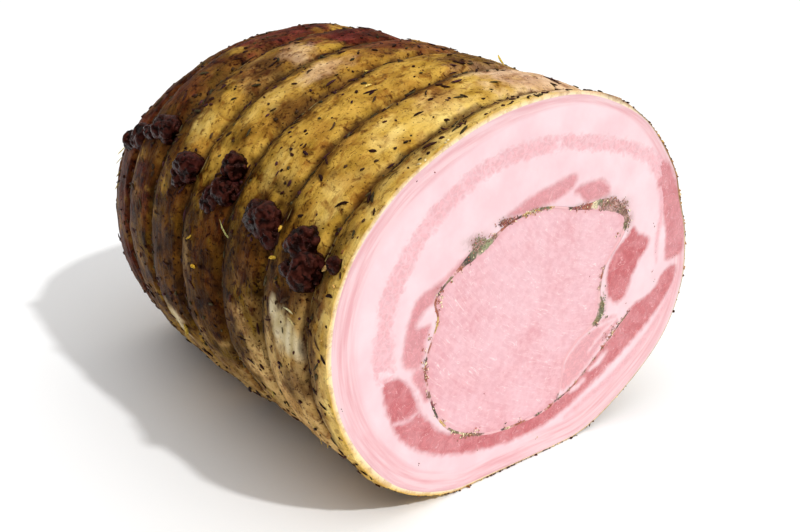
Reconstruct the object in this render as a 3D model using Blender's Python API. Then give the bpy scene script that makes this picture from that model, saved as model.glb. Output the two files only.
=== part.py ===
"""Half of a roast porchetta, cut straight across: a sheet of pork belly with its rind, rolled round a loin
with a seam of herbs, and roasted in seven turns of string, since taken off. Metres, +Z up.

The roll lies along Y. Its cut face is at -Y and its roasted end at +Y. It rests on z = 0, and the origin is
under the middle of its box.
"""

import math

import bmesh
import bpy
import numpy as np
from mathutils import Matrix, Vector

MM = 0.001
GAP = 0.3 * MM  # between two solids that touch

# The roll, from the cut face back.
ROLL_LENGTH = 218 * MM
STRING_TURNS = 7
FIRST_STRING = 13.2 * MM
STRING_PITCH = 30.3 * MM
STRING_DEPTH = 1.4 * MM
RIDGE_RISE = 2.4 * MM
SHOULDER_RADIUS = 24 * MM
SHOULDER_STEPS = 5
END_DOME = 4.5 * MM
END_DOME_STEPS = 4
ROUND_STEPS = 54  # facets round the rind
CORE_STEPS = 84  # facets round the loin
SECTION_CENTRE = Vector((0, 66 * MM))

# The section's outline at the cut face, (x, z) in mm, anticlockwise from the right. It rests on its flat side.
RIND_OUTLINE = (
    (93.6, 54), (92.6, 76), (87, 92), (80, 109), (59, 132.3), (28, 147.2), (-4, 149.4), (-36, 142.8),
    (-66, 128.5), (-86.5, 105.5), (-94.2, 76), (-88, 45), (-68, 16.6), (-42, 2.8), (-14, 0), (14, 0.2),
    (40, 3.2), (66, 16.4), (85, 33.2),
)
# How the roll narrows towards its end: mm from the cut, width and height as shares, and mm sideways.
GIRTH = (
    (0, 1, 1, 0), (13, 1.015, 0.995, 0), (43, 0.991, 1.013, 0), (74, 0.962, 1.022, -1.5), (104, 0.947, 1.028, -3),
    (134, 0.931, 1.026, -2), (165, 0.91, 1.0, 1.3), (195, 0.88, 0.914, 7.6), (225, 0.86, 0.833, 12.3),
)

# The loin's outline, (x, z) in mm. The belly's thin inner end lies in the hollow at its lower right.
LOIN_OUTLINE = (
    (39, 52.5), (39.5, 64), (42, 75), (50, 85), (52, 93), (41, 98.5), (22, 103), (5, 107), (-12, 105), (-24, 97.5),
    (-38, 92), (-47, 84.5), (-46, 76), (-51.5, 61), (-50, 49), (-45, 36), (-36, 27), (-22, 21), (-8, 19), (8, 19.3),
    (17, 22), (20, 30), (21, 38.5), (28, 45.5),
)
# The herb seam round the loin: thin, with three clumps, each (x, z), extra thickness and half-width in mm.
HERB_THICKNESS = 1.0 * MM
HERB_CLUMPS = ((-27, 98, 3.6, 8), (42, 99, 4.0, 13), (40, 55, 3.0, 6))
# The seam's tail, under the belly's inner end: (x, z) and thickness in mm.
HERB_TAIL = ((18, 21.6, 1.0), (25, 23.6, 1.0), (33, 28, 1.0), (43, 35.5, 1.1), (53, 44, 2.2), (60.5, 49.8, 1.8))

# Beads of dried pan juice in a row along the belly's seam. Each has its place in mm from the cut and in steps
# round the outline, and its length along the roll, its width round it and its height, in mm. The last number is
# how deep a waist parts its two lobes.
BEADS = {
    "juice_bead_1": (5, 8.96, 7, 6, 3.6, 0.0),
    "juice_bead_2": (19.5, 8.95, 16, 20, 7.5, 0.28),
    "juice_bead_3": (50, 8.93, 20, 15, 7.0, 0.15),
    "juice_bead_4": (78.5, 8.69, 14, 19, 7.0, 0.30),
    "juice_bead_5": (108, 8.82, 16, 12, 6.5, 0.0),
    "juice_bead_6": (140, 8.52, 16, 13, 6.5, 0.10),
    "juice_bead_7": (165, 8.80, 15, 13, 7.0, 0.15),
}
BEAD_LUMPS = 0.10

RUN_OUT = 20 * MM  # how far a cutting prism passes both ends


def on_loop(points, step):
    """A smooth closed curve through the points; step counts them, and may fall between two."""
    points = np.asarray(points, float)
    step = np.asarray(step, float)
    at = np.floor(step).astype(int) % len(points)
    t = (step - np.floor(step))[..., None]
    before, start, end, after = (points[(at + k) % len(points)] for k in (-1, 0, 1, 2))
    slope = end - before
    bend = 2 * before - 5 * start + 4 * end - after
    twist = 3 * start - before - 3 * end + after
    return 0.5 * (2 * start + slope * t + bend * t**2 + twist * t**3)


def outward(points, step):
    """The unit normal of an anticlockwise loop, away from its inside."""
    along = on_loop(points, np.asarray(step) + 1e-3) - on_loop(points, np.asarray(step) - 1e-3)
    along /= np.linalg.norm(along, axis=-1, keepdims=True)
    return np.stack([along[..., 1], -along[..., 0]], -1)


def girth(depth):
    """Width, height and sideways shift (m) of the section at a depth from the cut, as a smooth curve."""
    table = np.array(GIRTH) * (MM, 1, 1, MM)
    places, values = table[:, 0], table[:, 1:]
    slopes = np.gradient(values, places, axis=0)
    at = int(np.clip(np.searchsorted(places, depth, side="right") - 1, 0, len(places) - 2))
    span = places[at + 1] - places[at]
    t = (depth - places[at]) / span
    return (
        (2 * t**3 - 3 * t**2 + 1) * values[at] + (t**3 - 2 * t**2 + t) * span * slopes[at]
        + (3 * t**2 - 2 * t**3) * values[at + 1] + (t**3 - t**2) * span * slopes[at + 1]
    )


def ridge(depth):
    """How far the rind stands out between two turns of string, or dips under one."""
    bay = (depth - FIRST_STRING) / STRING_PITCH
    return RIDGE_RISE * math.sin(math.pi * (bay % 1)) ** 0.6 - STRING_DEPTH


def rind_ring(depth, steps, lift=0.0):
    """(x, z) points of the rind at a depth from the cut, pressed flat where they would pass the ground."""
    width, height, shift = girth(depth)
    outline = np.array(RIND_OUTLINE) * MM
    ring = on_loop(outline, steps) * (width, height)
    ring[:, 0] += shift
    ring = ring + outward(outline, steps) * (ridge(depth) + lift)
    ring[:, 1] = np.maximum(ring[:, 1], -lift)
    return ring


def ring_depths():
    """Depths of the rings that follow the rim, the string grooves and the ridges."""
    rim = [0, 0.35 * FIRST_STRING, 0.75 * FIRST_STRING]
    bays = [
        FIRST_STRING + STRING_PITCH * (turn + part)
        for turn in range(STRING_TURNS - 1)
        for part in (0, 0.12, 0.32, 0.68, 0.88)
    ]
    return rim + bays + [FIRST_STRING + STRING_PITCH * (STRING_TURNS - 1)]


def new_object(name, bm, material=None):
    mesh = bpy.data.meshes.new(name)
    bmesh.ops.recalc_face_normals(bm, faces=bm.faces)
    bm.to_mesh(mesh)
    bm.free()
    obj = bpy.data.objects.new(name, mesh)
    bpy.context.scene.collection.objects.link(obj)
    if material:
        mesh.materials.append(material)
    return obj


def add_ring(bm, ring, depth):
    y = depth - ROLL_LENGTH / 2
    return [bm.verts.new((x, y, z)) for x, z in ring]


def bridge(bm, first, second):
    count = len(first)
    for i in range(count):
        j = (i + 1) % count
        bm.faces.new((first[i], first[j], second[j], second[i]))


def roll_solid(name, lift=0.0):
    """The whole roll as one solid: ridged side, flat cut, rounded shoulder and domed end."""
    bm = bmesh.new()
    steps = np.arange(ROUND_STEPS) * len(RIND_OUTLINE) / ROUND_STEPS
    depths = ring_depths()
    rings = [add_ring(bm, rind_ring(depth, steps, lift), depth if depth else -lift) for depth in depths]
    edge = rind_ring(depths[-1], steps, lift)
    shoulder_start = ROLL_LENGTH - END_DOME - SHOULDER_RADIUS
    centre = np.array(SECTION_CENTRE)
    reach = np.linalg.norm(edge - centre, axis=1).mean()
    for k in range(SHOULDER_STEPS + 1):
        turn = math.pi / 2 * k / SHOULDER_STEPS
        shrink = 1 - SHOULDER_RADIUS * (1 - math.cos(turn)) / reach
        depth = shoulder_start + SHOULDER_RADIUS * math.sin(turn) + lift
        ring = centre + (edge - centre) * shrink
        if k:
            rings.append(add_ring(bm, ring, depth))
    flat = depth
    for k in range(1, END_DOME_STEPS):
        part = 1 - k / END_DOME_STEPS
        rings.append(add_ring(bm, centre + (ring - centre) * part, flat + END_DOME * (1 - part**2)))
    for first, second in zip(rings, rings[1:]):
        bridge(bm, first, second)
    bm.faces.new(rings[0])
    tip = bm.verts.new((centre[0], flat + END_DOME - ROLL_LENGTH / 2, centre[1]))
    last = rings[-1]
    for i, vert in enumerate(last):
        bm.faces.new((vert, last[(i + 1) % len(last)], tip))
    return new_object(name, bm)


def prism(name, ring, material=None):
    """A straight bar with this section, longer than the roll at both ends."""
    bm = bmesh.new()
    front = add_ring(bm, ring, -RUN_OUT)
    back = add_ring(bm, ring, ROLL_LENGTH + RUN_OUT)
    bridge(bm, front, back)
    bm.faces.new(front)
    bm.faces.new(back)
    return new_object(name, bm, material)


def loin_ring(lift, clumps=False):
    """The loin's outline moved outwards, and further at the clumps of herbs."""
    outline = np.array(LOIN_OUTLINE) * MM
    steps = np.arange(CORE_STEPS) * len(LOIN_OUTLINE) / CORE_STEPS
    ring = on_loop(outline, steps)
    grow = np.full(CORE_STEPS, lift)
    if clumps:
        for x, z, extra, half_width in HERB_CLUMPS:
            away = np.linalg.norm(ring - np.array((x, z)) * MM, axis=1) / (half_width * MM)
            grow += extra * MM * np.exp(-(away**2))
    return ring + outward(outline, steps) * grow[:, None]


def tail_ring(lift):
    """The outline of the herb seam's tail: its centre line, thickened to both sides and at its end."""
    line = np.array(HERB_TAIL) * MM
    along = np.gradient(line[:, :2], axis=0)
    along /= np.linalg.norm(along, axis=1, keepdims=True)
    side = np.stack([along[:, 1], -along[:, 0]], -1)
    half = line[:, 2:] / 2 + lift
    tip = line[-1:, :2] + along[-1] * half[-1]
    right = line[:, :2] + side * half
    left = line[:, :2] - side * half
    return np.concatenate([right, tip, left[::-1]])


def combine(obj, other, operation):
    """Adds a Boolean with a helper that is then hidden."""
    modifier = obj.modifiers.new(other.name, "BOOLEAN")
    modifier.object = other
    modifier.operation = operation
    modifier.solver = "EXACT"
    other.hide_render = True
    other.display_type = "WIRE"


def bead(name, place, whole, material):
    """A lumpy bead of dried juice that sits on the rind, its underside shaped to it."""
    depth, step, length, width, height, waist = place
    point, normal = rind_frame(depth * MM, step)
    along = Vector((0, 1, 0))
    across = normal.cross(along).normalized()
    along = across.cross(normal)
    turn = Matrix((along, across, normal)).transposed()
    half = (length * MM / 2, width * MM / 2, height * MM)
    bm = bmesh.new()
    bmesh.ops.create_icosphere(bm, subdivisions=3, radius=1)
    for vert in bm.verts:
        d = vert.co.copy()
        lumps = math.sin(5 * d.x + depth) * math.sin(4 * d.y + step) + 0.6 * math.sin(7 * d.z + 3 * d.x)
        long_axis = d.x if length > width else d.y
        size = (1 + BEAD_LUMPS * lumps) * (1 - waist * math.exp(-((long_axis / 0.3) ** 2)))
        vert.co = point + turn @ Vector([d[i] * half[i] * size for i in range(3)])
    obj = new_object(name, bm, material)
    combine(obj, whole, "DIFFERENCE")
    return obj


def rind_frame(depth, step):
    """A point on the rind and its outward normal."""
    x, z = rind_ring(depth, np.array([step]))[0]
    nx, nz = outward(np.array(RIND_OUTLINE) * MM, np.array([step]))[0]
    return Vector((x, depth - ROLL_LENGTH / 2, z)), Vector((nx, 0, nz))


def finish(name, colour, roughness):
    material = bpy.data.materials.new(name)
    material.use_nodes = True
    shader = material.node_tree.nodes["Principled BSDF"]
    shader.inputs["Base Color"].default_value = (*colour, 1)
    shader.inputs["Roughness"].default_value = roughness
    shader.inputs["Metallic"].default_value = 0
    return material


def build():
    for obj in list(bpy.data.objects):
        bpy.data.objects.remove(obj, do_unlink=True)
    rind = finish("roast belly with rind", (0.49, 0.27, 0.05), 0.45)
    herbs = finish("chopped herbs", (0.10, 0.10, 0.04), 0.8)
    meat = finish("cooked loin", (0.91, 0.58, 0.61), 0.4)
    juice = finish("dried pan juice", (0.06, 0.02, 0.012), 0.25)

    bore = prism("bore_cutter", loin_ring(HERB_THICKNESS + 2 * GAP, clumps=True))
    slit = prism("slit_cutter", tail_ring(GAP))
    belly = roll_solid("belly")
    belly.data.materials.append(rind)
    combine(belly, bore, "DIFFERENCE")
    combine(belly, slit, "DIFFERENCE")

    whole = roll_solid("roll_shape")
    loin = prism("loin", loin_ring(0), meat)
    combine(loin, whole, "INTERSECT")

    herb_seam = prism("herb_seam", loin_ring(HERB_THICKNESS + GAP, clumps=True), herbs)
    combine(herb_seam, prism("tail_body", tail_ring(0)), "UNION")
    combine(herb_seam, prism("core_cutter", loin_ring(GAP)), "DIFFERENCE")
    combine(herb_seam, whole, "INTERSECT")

    around = roll_solid("rind_cutter", GAP)
    beads = [bead(name, place, around, juice) for name, place in BEADS.items()]
    for obj in [belly, loin, herb_seam, *beads]:
        obj.data.shade_smooth()
        obj.data.set_sharp_from_angle(angle=math.radians(35))


build()
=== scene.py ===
import itertools
import math

import bpy
import numpy as np
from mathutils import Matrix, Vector


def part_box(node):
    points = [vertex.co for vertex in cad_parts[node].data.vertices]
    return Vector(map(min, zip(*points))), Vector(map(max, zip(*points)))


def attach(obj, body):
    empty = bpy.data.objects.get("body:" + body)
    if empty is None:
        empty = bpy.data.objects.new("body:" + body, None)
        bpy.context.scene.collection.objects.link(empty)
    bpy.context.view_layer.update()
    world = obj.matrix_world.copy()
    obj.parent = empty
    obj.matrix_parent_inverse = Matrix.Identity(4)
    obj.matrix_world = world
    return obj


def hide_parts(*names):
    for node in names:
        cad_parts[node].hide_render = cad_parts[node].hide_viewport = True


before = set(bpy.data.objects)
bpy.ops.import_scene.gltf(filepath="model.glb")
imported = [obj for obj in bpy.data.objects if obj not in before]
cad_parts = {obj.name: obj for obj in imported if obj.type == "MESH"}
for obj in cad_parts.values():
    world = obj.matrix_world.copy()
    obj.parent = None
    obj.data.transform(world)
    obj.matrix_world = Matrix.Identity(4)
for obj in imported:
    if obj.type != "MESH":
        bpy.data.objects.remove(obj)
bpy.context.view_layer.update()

# ---- The loin ----------------------------------------------------------------------------------------------
# The whole pork loin at the middle of the roll: one long lean muscle, brined, cooked pale pink, and sliced
# straight across at the cut. The other end was out in the oven's heat, so it is domed and brown.
MM = 0.001
CUT_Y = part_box("belly")[0].y
ROLL_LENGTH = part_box("belly")[1].y - CUT_Y
AXIS = np.array((0, 66)) * MM  # (x, z) of the line that every section is drawn around
END_DOME = 4.5 * MM
END_REACH = 50 * MM  # mean distance from the axis to the rim of the domed end
LOIN_TURNS = 360
LOIN_ROWS = 56
LOIN_SIDE_ROAST = (0, 0, 0, 0, 0, 0, 0.5, 0.9)  # how roasted each ring of points along its side is
MOST_BORDER = 45  # about how many mm its middle lies from its edge
# (x, z) in mm round the loin, anticlockwise from its right side.
LOIN_OUTLINE = (
    (39, 52.5), (39.5, 64), (42, 75), (50, 85), (52, 93), (41, 98.5), (22, 103), (5, 107), (-12, 105),
    (-24, 97.5), (-38, 92), (-47, 84.5), (-46, 76), (-51.5, 61), (-50, 49), (-45, 36), (-36, 27), (-22, 21),
    (-8, 19), (8, 19.3), (17, 22), (20, 30), (21, 38.5), (28, 45.5),
)
FIBRE_CENTRE = (60, 160)  # (x, z) in mm of the far point that the loin's fibres bend around
FIBRE_RADIUS = 120  # mean distance in mm from that point


def curve(before, start, end, after, t):
    """Points at the shares t of the way from start to end, on a smooth curve through all four."""
    bend, twist = 2 * before - 5 * start + 4 * end - after, 3 * start - before - 3 * end + after
    return 0.5 * (2 * start + (end - before) * t + bend * t**2 + twist * t**3)


def on_loop(outline, step):
    """Points on the smooth closed curve through outline, in metres; step counts its points, in fractions."""
    points = np.array(outline, float) * MM
    at = np.floor(step).astype(int)
    return curve(*(points[(at + k) % len(points)] for k in (-1, 0, 1, 2)), (step - at)[..., None])


def loop(outline, turn):
    """Where the curve through outline lies in the directions turn from the axis, and its outward normals."""
    points = on_loop(outline, np.arange(0, len(outline), 0.01))
    along = np.roll(points, -1, axis=0) - np.roll(points, 1, axis=0)
    normals = np.stack([along[:, 1], -along[:, 0]], -1) / np.linalg.norm(along, axis=1, keepdims=True)
    angles = np.arctan2(*(points - AXIS).T[::-1])
    return [
        np.stack([np.interp(turn, angles, values[:, k], period=math.tau) for k in (0, 1)], -1)
        for values in (points, normals)
    ]


def all_round(count):
    """Evenly spaced directions all round the section, in radians from its right side."""
    return np.linspace(-math.pi, math.pi, count, endpoint=False)


def lumps(points, size, seed):
    """Smooth random heights from -1 to 1 at the points, with bumps about size metres across."""
    spots = np.asarray(points) / size + 31.7 * seed
    cells = np.floor(spots).astype(np.int64)
    parts = spots - cells
    parts = parts * parts * (3 - 2 * parts)
    total = 0
    # Each corner of a cell gets its own height, scrambled from its place by large primes.
    for corner in itertools.product((0, 1), repeat=3):
        key = (cells + corner) @ np.array((73856093, 19349663, 83492791)) + 374761393 * seed
        key = (key ^ (key >> 13)) * 1274126177
        key = (key ^ (key >> 16)) & 0xFFFF
        total = total + (key / 32767.5 - 1) * np.prod(np.where(corner, parts, 1 - parts), axis=-1)
    return total


def in_space(flat, depth):
    """(x, y, z) points from (x, z) points and their depth behind the cut."""
    return np.stack([flat[..., 0], CUT_Y + np.broadcast_to(depth, flat.shape[:-1]), flat[..., 1]], -1)


def knife_wave(flat):
    """How far the long knife strayed from a flat cut."""
    spots = in_space(flat, 0)
    return 0.3 * MM * lumps(spots, 40 * MM, 1) + 0.06 * MM * lumps(spots, 8 * MM, 2)


def roast_depth(flat, seed):
    """Depth of the domed, roasted end, with the swellings that the heat left."""
    share = np.minimum(np.linalg.norm(flat - AXIS, axis=-1) / END_REACH, 1.15)
    spots = in_space(flat, 0)
    swell = lumps(spots, 15 * MM, seed) + 0.5 * lumps(spots, 5 * MM, seed + 1)
    swell = swell + 0.25 * lumps(spots, 2 * MM, seed + 2)
    return ROLL_LENGTH - END_DOME * share**2 + (swell - 0.6) * MM


def linear(colour):
    """The linear RGBA of an sRGB hex colour."""
    parts = [int(colour[i : i + 2], 16) / 255 for i in (0, 2, 4)]
    return (*[part / 12.92 if part <= 0.04045 else ((part + 0.055) / 1.055) ** 2.4 for part in parts], 1)


def finish(name, settings):
    """A new material with the settings that are the same all over it, its node tree and its shader."""
    material = bpy.data.materials.new(name)
    material.use_nodes = True
    shader = material.node_tree.nodes["Principled BSDF"]
    for key, value in settings.items():
        shader.inputs[key].default_value = value
    return material, material.node_tree, shader


def add(kind, inputs=None, output=None, **settings):
    """Adds a node to the material being made, and gives its first output or the named one. inputs holds a
    value or another node's output for each socket, by its name or its number."""
    made = tree.nodes.new("ShaderNode" + kind)
    for key, value in settings.items():
        setattr(made, key, value)
    for key, value in (inputs or {}).items():
        named = (s for s in made.inputs if s.enabled and s.name == key)
        socket = next(named) if isinstance(key, str) else made.inputs[key]
        if isinstance(value, bpy.types.NodeSocket):
            tree.links.new(value, socket)
        else:
            socket.default_value = value
    return next(s for s in made.outputs if s.enabled and output in (None, s.name))


def piece_from(name, points, faces, material, values, crease=180):
    """A smooth mesh object on the roll's one body. values holds its point attributes, and crease is the angle
    in degrees from which an edge is sharp."""
    corners = points[np.array([face[:3] for face in faces])]
    if np.einsum("ij,ij->", corners[:, 0], np.cross(corners[:, 1], corners[:, 2])) < 0:
        faces = [face[::-1] for face in faces]
    mesh = bpy.data.meshes.new(name)
    mesh.from_pydata(points, [], faces)
    mesh.shade_smooth()
    mesh.set_sharp_from_angle(angle=math.radians(crease))
    for key, value in values.items():
        kind, field = ("FLOAT", "value") if value.ndim == 1 else ("FLOAT_VECTOR", "vector")
        if value.ndim == 2 and value.shape[1] == 4:
            kind, field = "FLOAT_COLOR", "color"
        mesh.attributes.new(key, kind, "POINT").data.foreach_set(field, value.astype(np.float32).ravel())
    mesh.materials.append(material)
    piece = bpy.data.objects.new(name, mesh)
    bpy.context.scene.collection.objects.link(piece)
    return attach(piece, "root")


def ringed(name, rings, joined, material, values, crease=180):
    """A closed skin through rings of points. The last ring joins the first, or else a fan shuts each end."""
    rows, count = rings.shape[:2]
    here = np.arange(count)
    beside = (here + 1) % count
    start = np.arange(rows if joined else rows - 1)[:, None] * count
    after = (start + count) % (rows * count)
    faces = np.stack([start + here, start + beside, after + beside, after + here], -1).reshape(-1, 4).tolist()
    arrays = {"points": rings, **values}
    arrays = {key: value.reshape(rows * count, *value.shape[2:]) for key, value in arrays.items()}
    if not joined:
        for key, value in arrays.items():
            arrays[key] = np.concatenate([value, [value[:count].mean(0)], [value[-count:].mean(0)]])
        last = (rows - 1) * count
        faces += [[int(b), int(a), rows * count] for a, b in zip(here, beside)]
        faces += [[int(a) + last, int(b) + last, rows * count + 1] for a, b in zip(here, beside)]
    return piece_from(name, arrays.pop("points"), faces, material, arrays, crease)


turn = all_round(LOIN_TURNS)
edge, _ = loop(LOIN_OUTLINE, turn)
share = np.linspace(0.015, 1, LOIN_ROWS)[:, None, None]
cut_face = AXIS + (edge - AXIS) * share
front = in_space(cut_face, knife_wave(cut_face))
front[-1, :, 1] += 0.1 * MM  # the slice's edge is a little rounded
depths = np.linspace(0.02, 0.94, len(LOIN_SIDE_ROAST)) * ROLL_LENGTH
side = np.stack([in_space(edge, depth) for depth in depths])
end_face = AXIS + (edge - AXIS) * share[::-1]
back = in_space(end_face, roast_depth(end_face, 7) + 1.5 * MM * (1 - share[::-1, :, 0] ** 6))
rings = np.concatenate([front, side, back])
roast = np.concatenate([0 * share[:, 0, 0], LOIN_SIDE_ROAST, 0 * share[:, 0, 0] + 1])
border = np.concatenate([1 - share, np.zeros((len(depths), 1, 1)), 1 - share[::-1]])[..., 0] * MOST_BORDER
x, z = rings[..., 0] / MM - FIBRE_CENTRE[0], rings[..., 2] / MM - FIBRE_CENTRE[1]
values = {
    "fibre": np.stack([np.hypot(x, z), FIBRE_RADIUS * np.arctan2(z, x), rings[..., 1] / MM], -1),
    "roast": roast[:, None] * np.ones(LOIN_TURNS),
    "border": border * np.ones(LOIN_TURNS),
}

# Cooked, brined lean: pale pink from the cure, with long pale fibres. The eye sees a moist, slightly
# see-through surface: light sinks a few millimetres in, and the wet film gives a dull gloss.
WET_MEAT = {"Roughness": 0.42, "IOR": 1.38, "Subsurface Weight": 0.15, "Subsurface Scale": 3 * MM}
WET_MEAT["Subsurface Radius"] = (1.0, 0.45, 0.35)


def roasted(colour, place, lean="a06a3c"):
    """Mixes a cut surface's colour into the blotchy browns of the end that faced the oven's heat."""
    blotch = add("TexNoise", {"Vector": place, "Scale": 1 / (9 * MM), "Detail": 5})
    speck = add("TexNoise", {"Vector": place, "Scale": 1 / (2.2 * MM), "Detail": 3})
    pale = add("MapRange", {"Value": blotch, "From Min": 0.42, "From Max": 0.62})
    dark = add("MapRange", {"Value": speck, "From Min": 0.5, "From Max": 0.68})
    brown = add("Mix", {"Factor": pale, "A": linear("5e341c"), "B": linear(lean)}, data_type="RGBA")
    brown = add("Mix", {"Factor": dark, "A": brown, "B": linear("38200f")}, data_type="RGBA")
    roast = add("Attribute", output="Fac", attribute_name="roast")
    return add("Mix", {"Factor": roast, "A": colour, "B": brown}, data_type="RGBA")


loin_finish, tree, shader = finish("cooked cured loin", WET_MEAT)
place = add("TexCoord", output="Object")
fibre = add("Attribute", output="Vector", attribute_name="fibre")
cloud = add("TexNoise", {"Vector": place, "Scale": 1 / (17 * MM), "Detail": 3})
cloud = add("MapRange", {"Value": cloud, "From Min": 0.35, "From Max": 0.65})
pink = add("Mix", {"Factor": cloud, "A": linear("db9fa6"), "B": linear("e2b2b9")}, data_type="RGBA")
# Fibres are under 0.1 mm across, so bundles of them 1.5 mm wide and 12 mm long are what shows.
bundle = add("Mapping", {"Vector": fibre, "Scale": (1 / 1.5, 1 / 12, 1 / 6)})
strand = add("TexNoise", {"Vector": bundle, "Scale": 1, "Detail": 4, "Roughness": 0.6, "Distortion": 1})
pale = add("MapRange", {"Value": strand, "From Min": 0.45, "From Max": 0.75, "To Max": 0.3})
pink = add("Mix", {"Factor": pale, "A": pink, "B": linear("f5d3d5")}, data_type="RGBA")
deep = add("MapRange", {"Value": strand, "From Min": 0.45, "From Max": 0.28, "To Max": 0.22})
pink = add("Mix", {"Factor": deep, "A": pink, "B": linear("dd99a1")}, data_type="RGBA")
# Bundles seen end on give a mottle of about 2 mm all over.
dot = add("TexNoise", {"Vector": place, "Scale": 1 / (2.2 * MM), "Detail": 3, "Roughness": 0.6})
dot = add("MapRange", {"Value": dot, "From Min": 0.4, "From Max": 0.62, "To Max": 0.35})
pink = add("Mix", {"Factor": dot, "A": pink, "B": linear("f3ccd1")}, data_type="RGBA")
# Hair-fine pale lines, mostly along the fibres, thin out to nothing in places.
along = add("Mapping", {"Vector": fibre, "Scale": (1 / 5, 1 / 16, 1 / 16)})
drift = add("TexNoise", {"Vector": along, "Scale": 1, "Detail": 2, "Distortion": 1.6})
vein = add("Math", {0: drift, 1: 11}, operation="MULTIPLY")
vein = add("Math", {0: vein, 1: 1}, operation="PINGPONG")
vein = add("MapRange", {"Value": vein, "From Min": 0.12, "From Max": 0, "To Max": 0.85})
gone = add("MapRange", {"Value": strand, "From Min": 0.42, "From Max": 0.62})
vein = add("Math", {0: vein, 1: gone}, operation="MULTIPLY")
pink = add("Mix", {"Factor": vein, "A": pink, "B": linear("fae6e4")}, data_type="RGBA")
border = add("Attribute", output="Fac", attribute_name="border")
near = add("MapRange", {"Value": border, "From Min": 3, "From Max": 0, "To Max": 0.35})
pink = add("Mix", {"Factor": near, "A": pink, "B": linear("dd9a9e")}, data_type="RGBA")
tree.links.new(roasted(pink, place), shader.inputs["Base Color"])
bump = add("Bump", {"Height": strand, "Strength": 0.3, "Distance": 0.2 * MM})
tree.links.new(bump, shader.inputs["Normal"])

loin = ringed("loin_slice", rings, False, loin_finish, values, 50)
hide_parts("loin")

# ---- The belly ---------------------------------------------------------------------------------------------
# The boned belly that is rolled round the loin: white fat with streaks of lean in it, and a soft pink layer
# under the rind. The roll closes where the belly's thin inner end, the flap, lies against the loin.
RIND_THICKNESS = 1.5 * MM
# The rind was cut close on the right and below: degrees round the section, and the share of its thickness.
RIND_SHARES = (
    (-180, 1.0), (-120, 0.7), (-80, 0.3), (-20, 0.25), (50, 0.3), (62, 0.75), (85, 0.9), (125, 1.0),
    (180, 1.0),
)
SEAM_THICKNESS = 1.0 * MM
# Where the herbs lie thicker: x, z, extra thickness and half-width in mm.
SEAM_CLUMPS = ((-27, 98, 3.6, 8), (42, 99, 4.0, 13), (40, 55, 3.0, 6))
FIRST_STRING = 13.2 * MM
STRING_PITCH = 30.3 * MM
STRING_TURNS = 7
LAST_STRING = FIRST_STRING + STRING_PITCH * (STRING_TURNS - 1)
STRING_DEPTH = 1.4 * MM
RIDGE_RISE = 2.4 * MM
SHOULDER_RADIUS = 24 * MM
SHOULDER_START = ROLL_LENGTH - END_DOME - SHOULDER_RADIUS
SKIN_LENGTH = SHOULDER_START + SHOULDER_RADIUS * math.pi / 2  # from the cut, along the skin, to the domed end
BELLY_TURNS = 480
BELLY_ROWS = 92
END_ROWS = 34
FAR_IN = 99  # a depth in mm under the rind that no point near the cut has
SIDE_INSETS = (7 * MM, 4 * MM)  # how far under the skin its hidden side stays, before the shoulder and on it
# (x, z) in mm round the rind at the cut, anticlockwise from its right side.
RIND_OUTLINE = (
    (93.6, 54), (92.6, 76), (87, 92), (80, 109), (59, 132.3), (28, 147.2), (-4, 149.4), (-36, 142.8),
    (-66, 128.5), (-86.5, 105.5), (-94.2, 76), (-88, 45), (-68, 16.6), (-42, 2.8), (-14, 0), (14, 0.2),
    (40, 3.2), (66, 16.4), (85, 33.2),
)
# How the section changes: mm from the cut, width and height as shares, and mm sideways.
GIRTH = (
    (0, 1, 1, 0), (13, 1.015, 0.995, 0), (43, 0.991, 1.013, 0), (74, 0.962, 1.022, -1.5),
    (104, 0.947, 1.028, -3), (134, 0.931, 1.026, -2), (165, 0.91, 1.0, 1.3), (195, 0.88, 0.914, 7.6),
    (225, 0.86, 0.833, 12.3),
)
# Streaks of pale lean: x, z and half-width in mm along the middle. The first is the long outer one.
LEAN_STREAKS = (
    (
        (-70.5, 61.5, 3.6), (-71.5, 68, 4.8), (-71.5, 75, 4.4), (-70.5, 82, 3.4), (-69, 89, 4.4),
        (-65, 97, 4.4), (-59.5, 105, 4), (-53, 112.5, 3.8), (-45, 118.6, 3.8), (-36, 123.8, 3.6),
        (-26, 128.2, 3.5), (-14, 131, 3.4), (0, 131.6, 3.5), (10, 131.8, 3), (14, 131.3, 2.8),
        (26, 129.2, 3.3), (37, 126.4, 3), (48, 123.2, 2.8), (58, 119.6, 3), (66, 115.2, 3.2), (72, 109.5, 4),
        (77, 102.5, 3.4),
    ),
    (
        (24, 11.6, 0.8), (34, 14.6, 1.5), (50, 20, 1.9), (65, 28, 2), (78, 38, 1.9), (86, 48, 1.6),
        (90, 57, 0.9),
    ),
    ((71, 108, 1.2), (75, 100, 2.4), (76.5, 92, 2), (75.5, 84, 1.4), (74.5, 76, 1.2), (75.5, 68, 0.8)),
)
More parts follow.
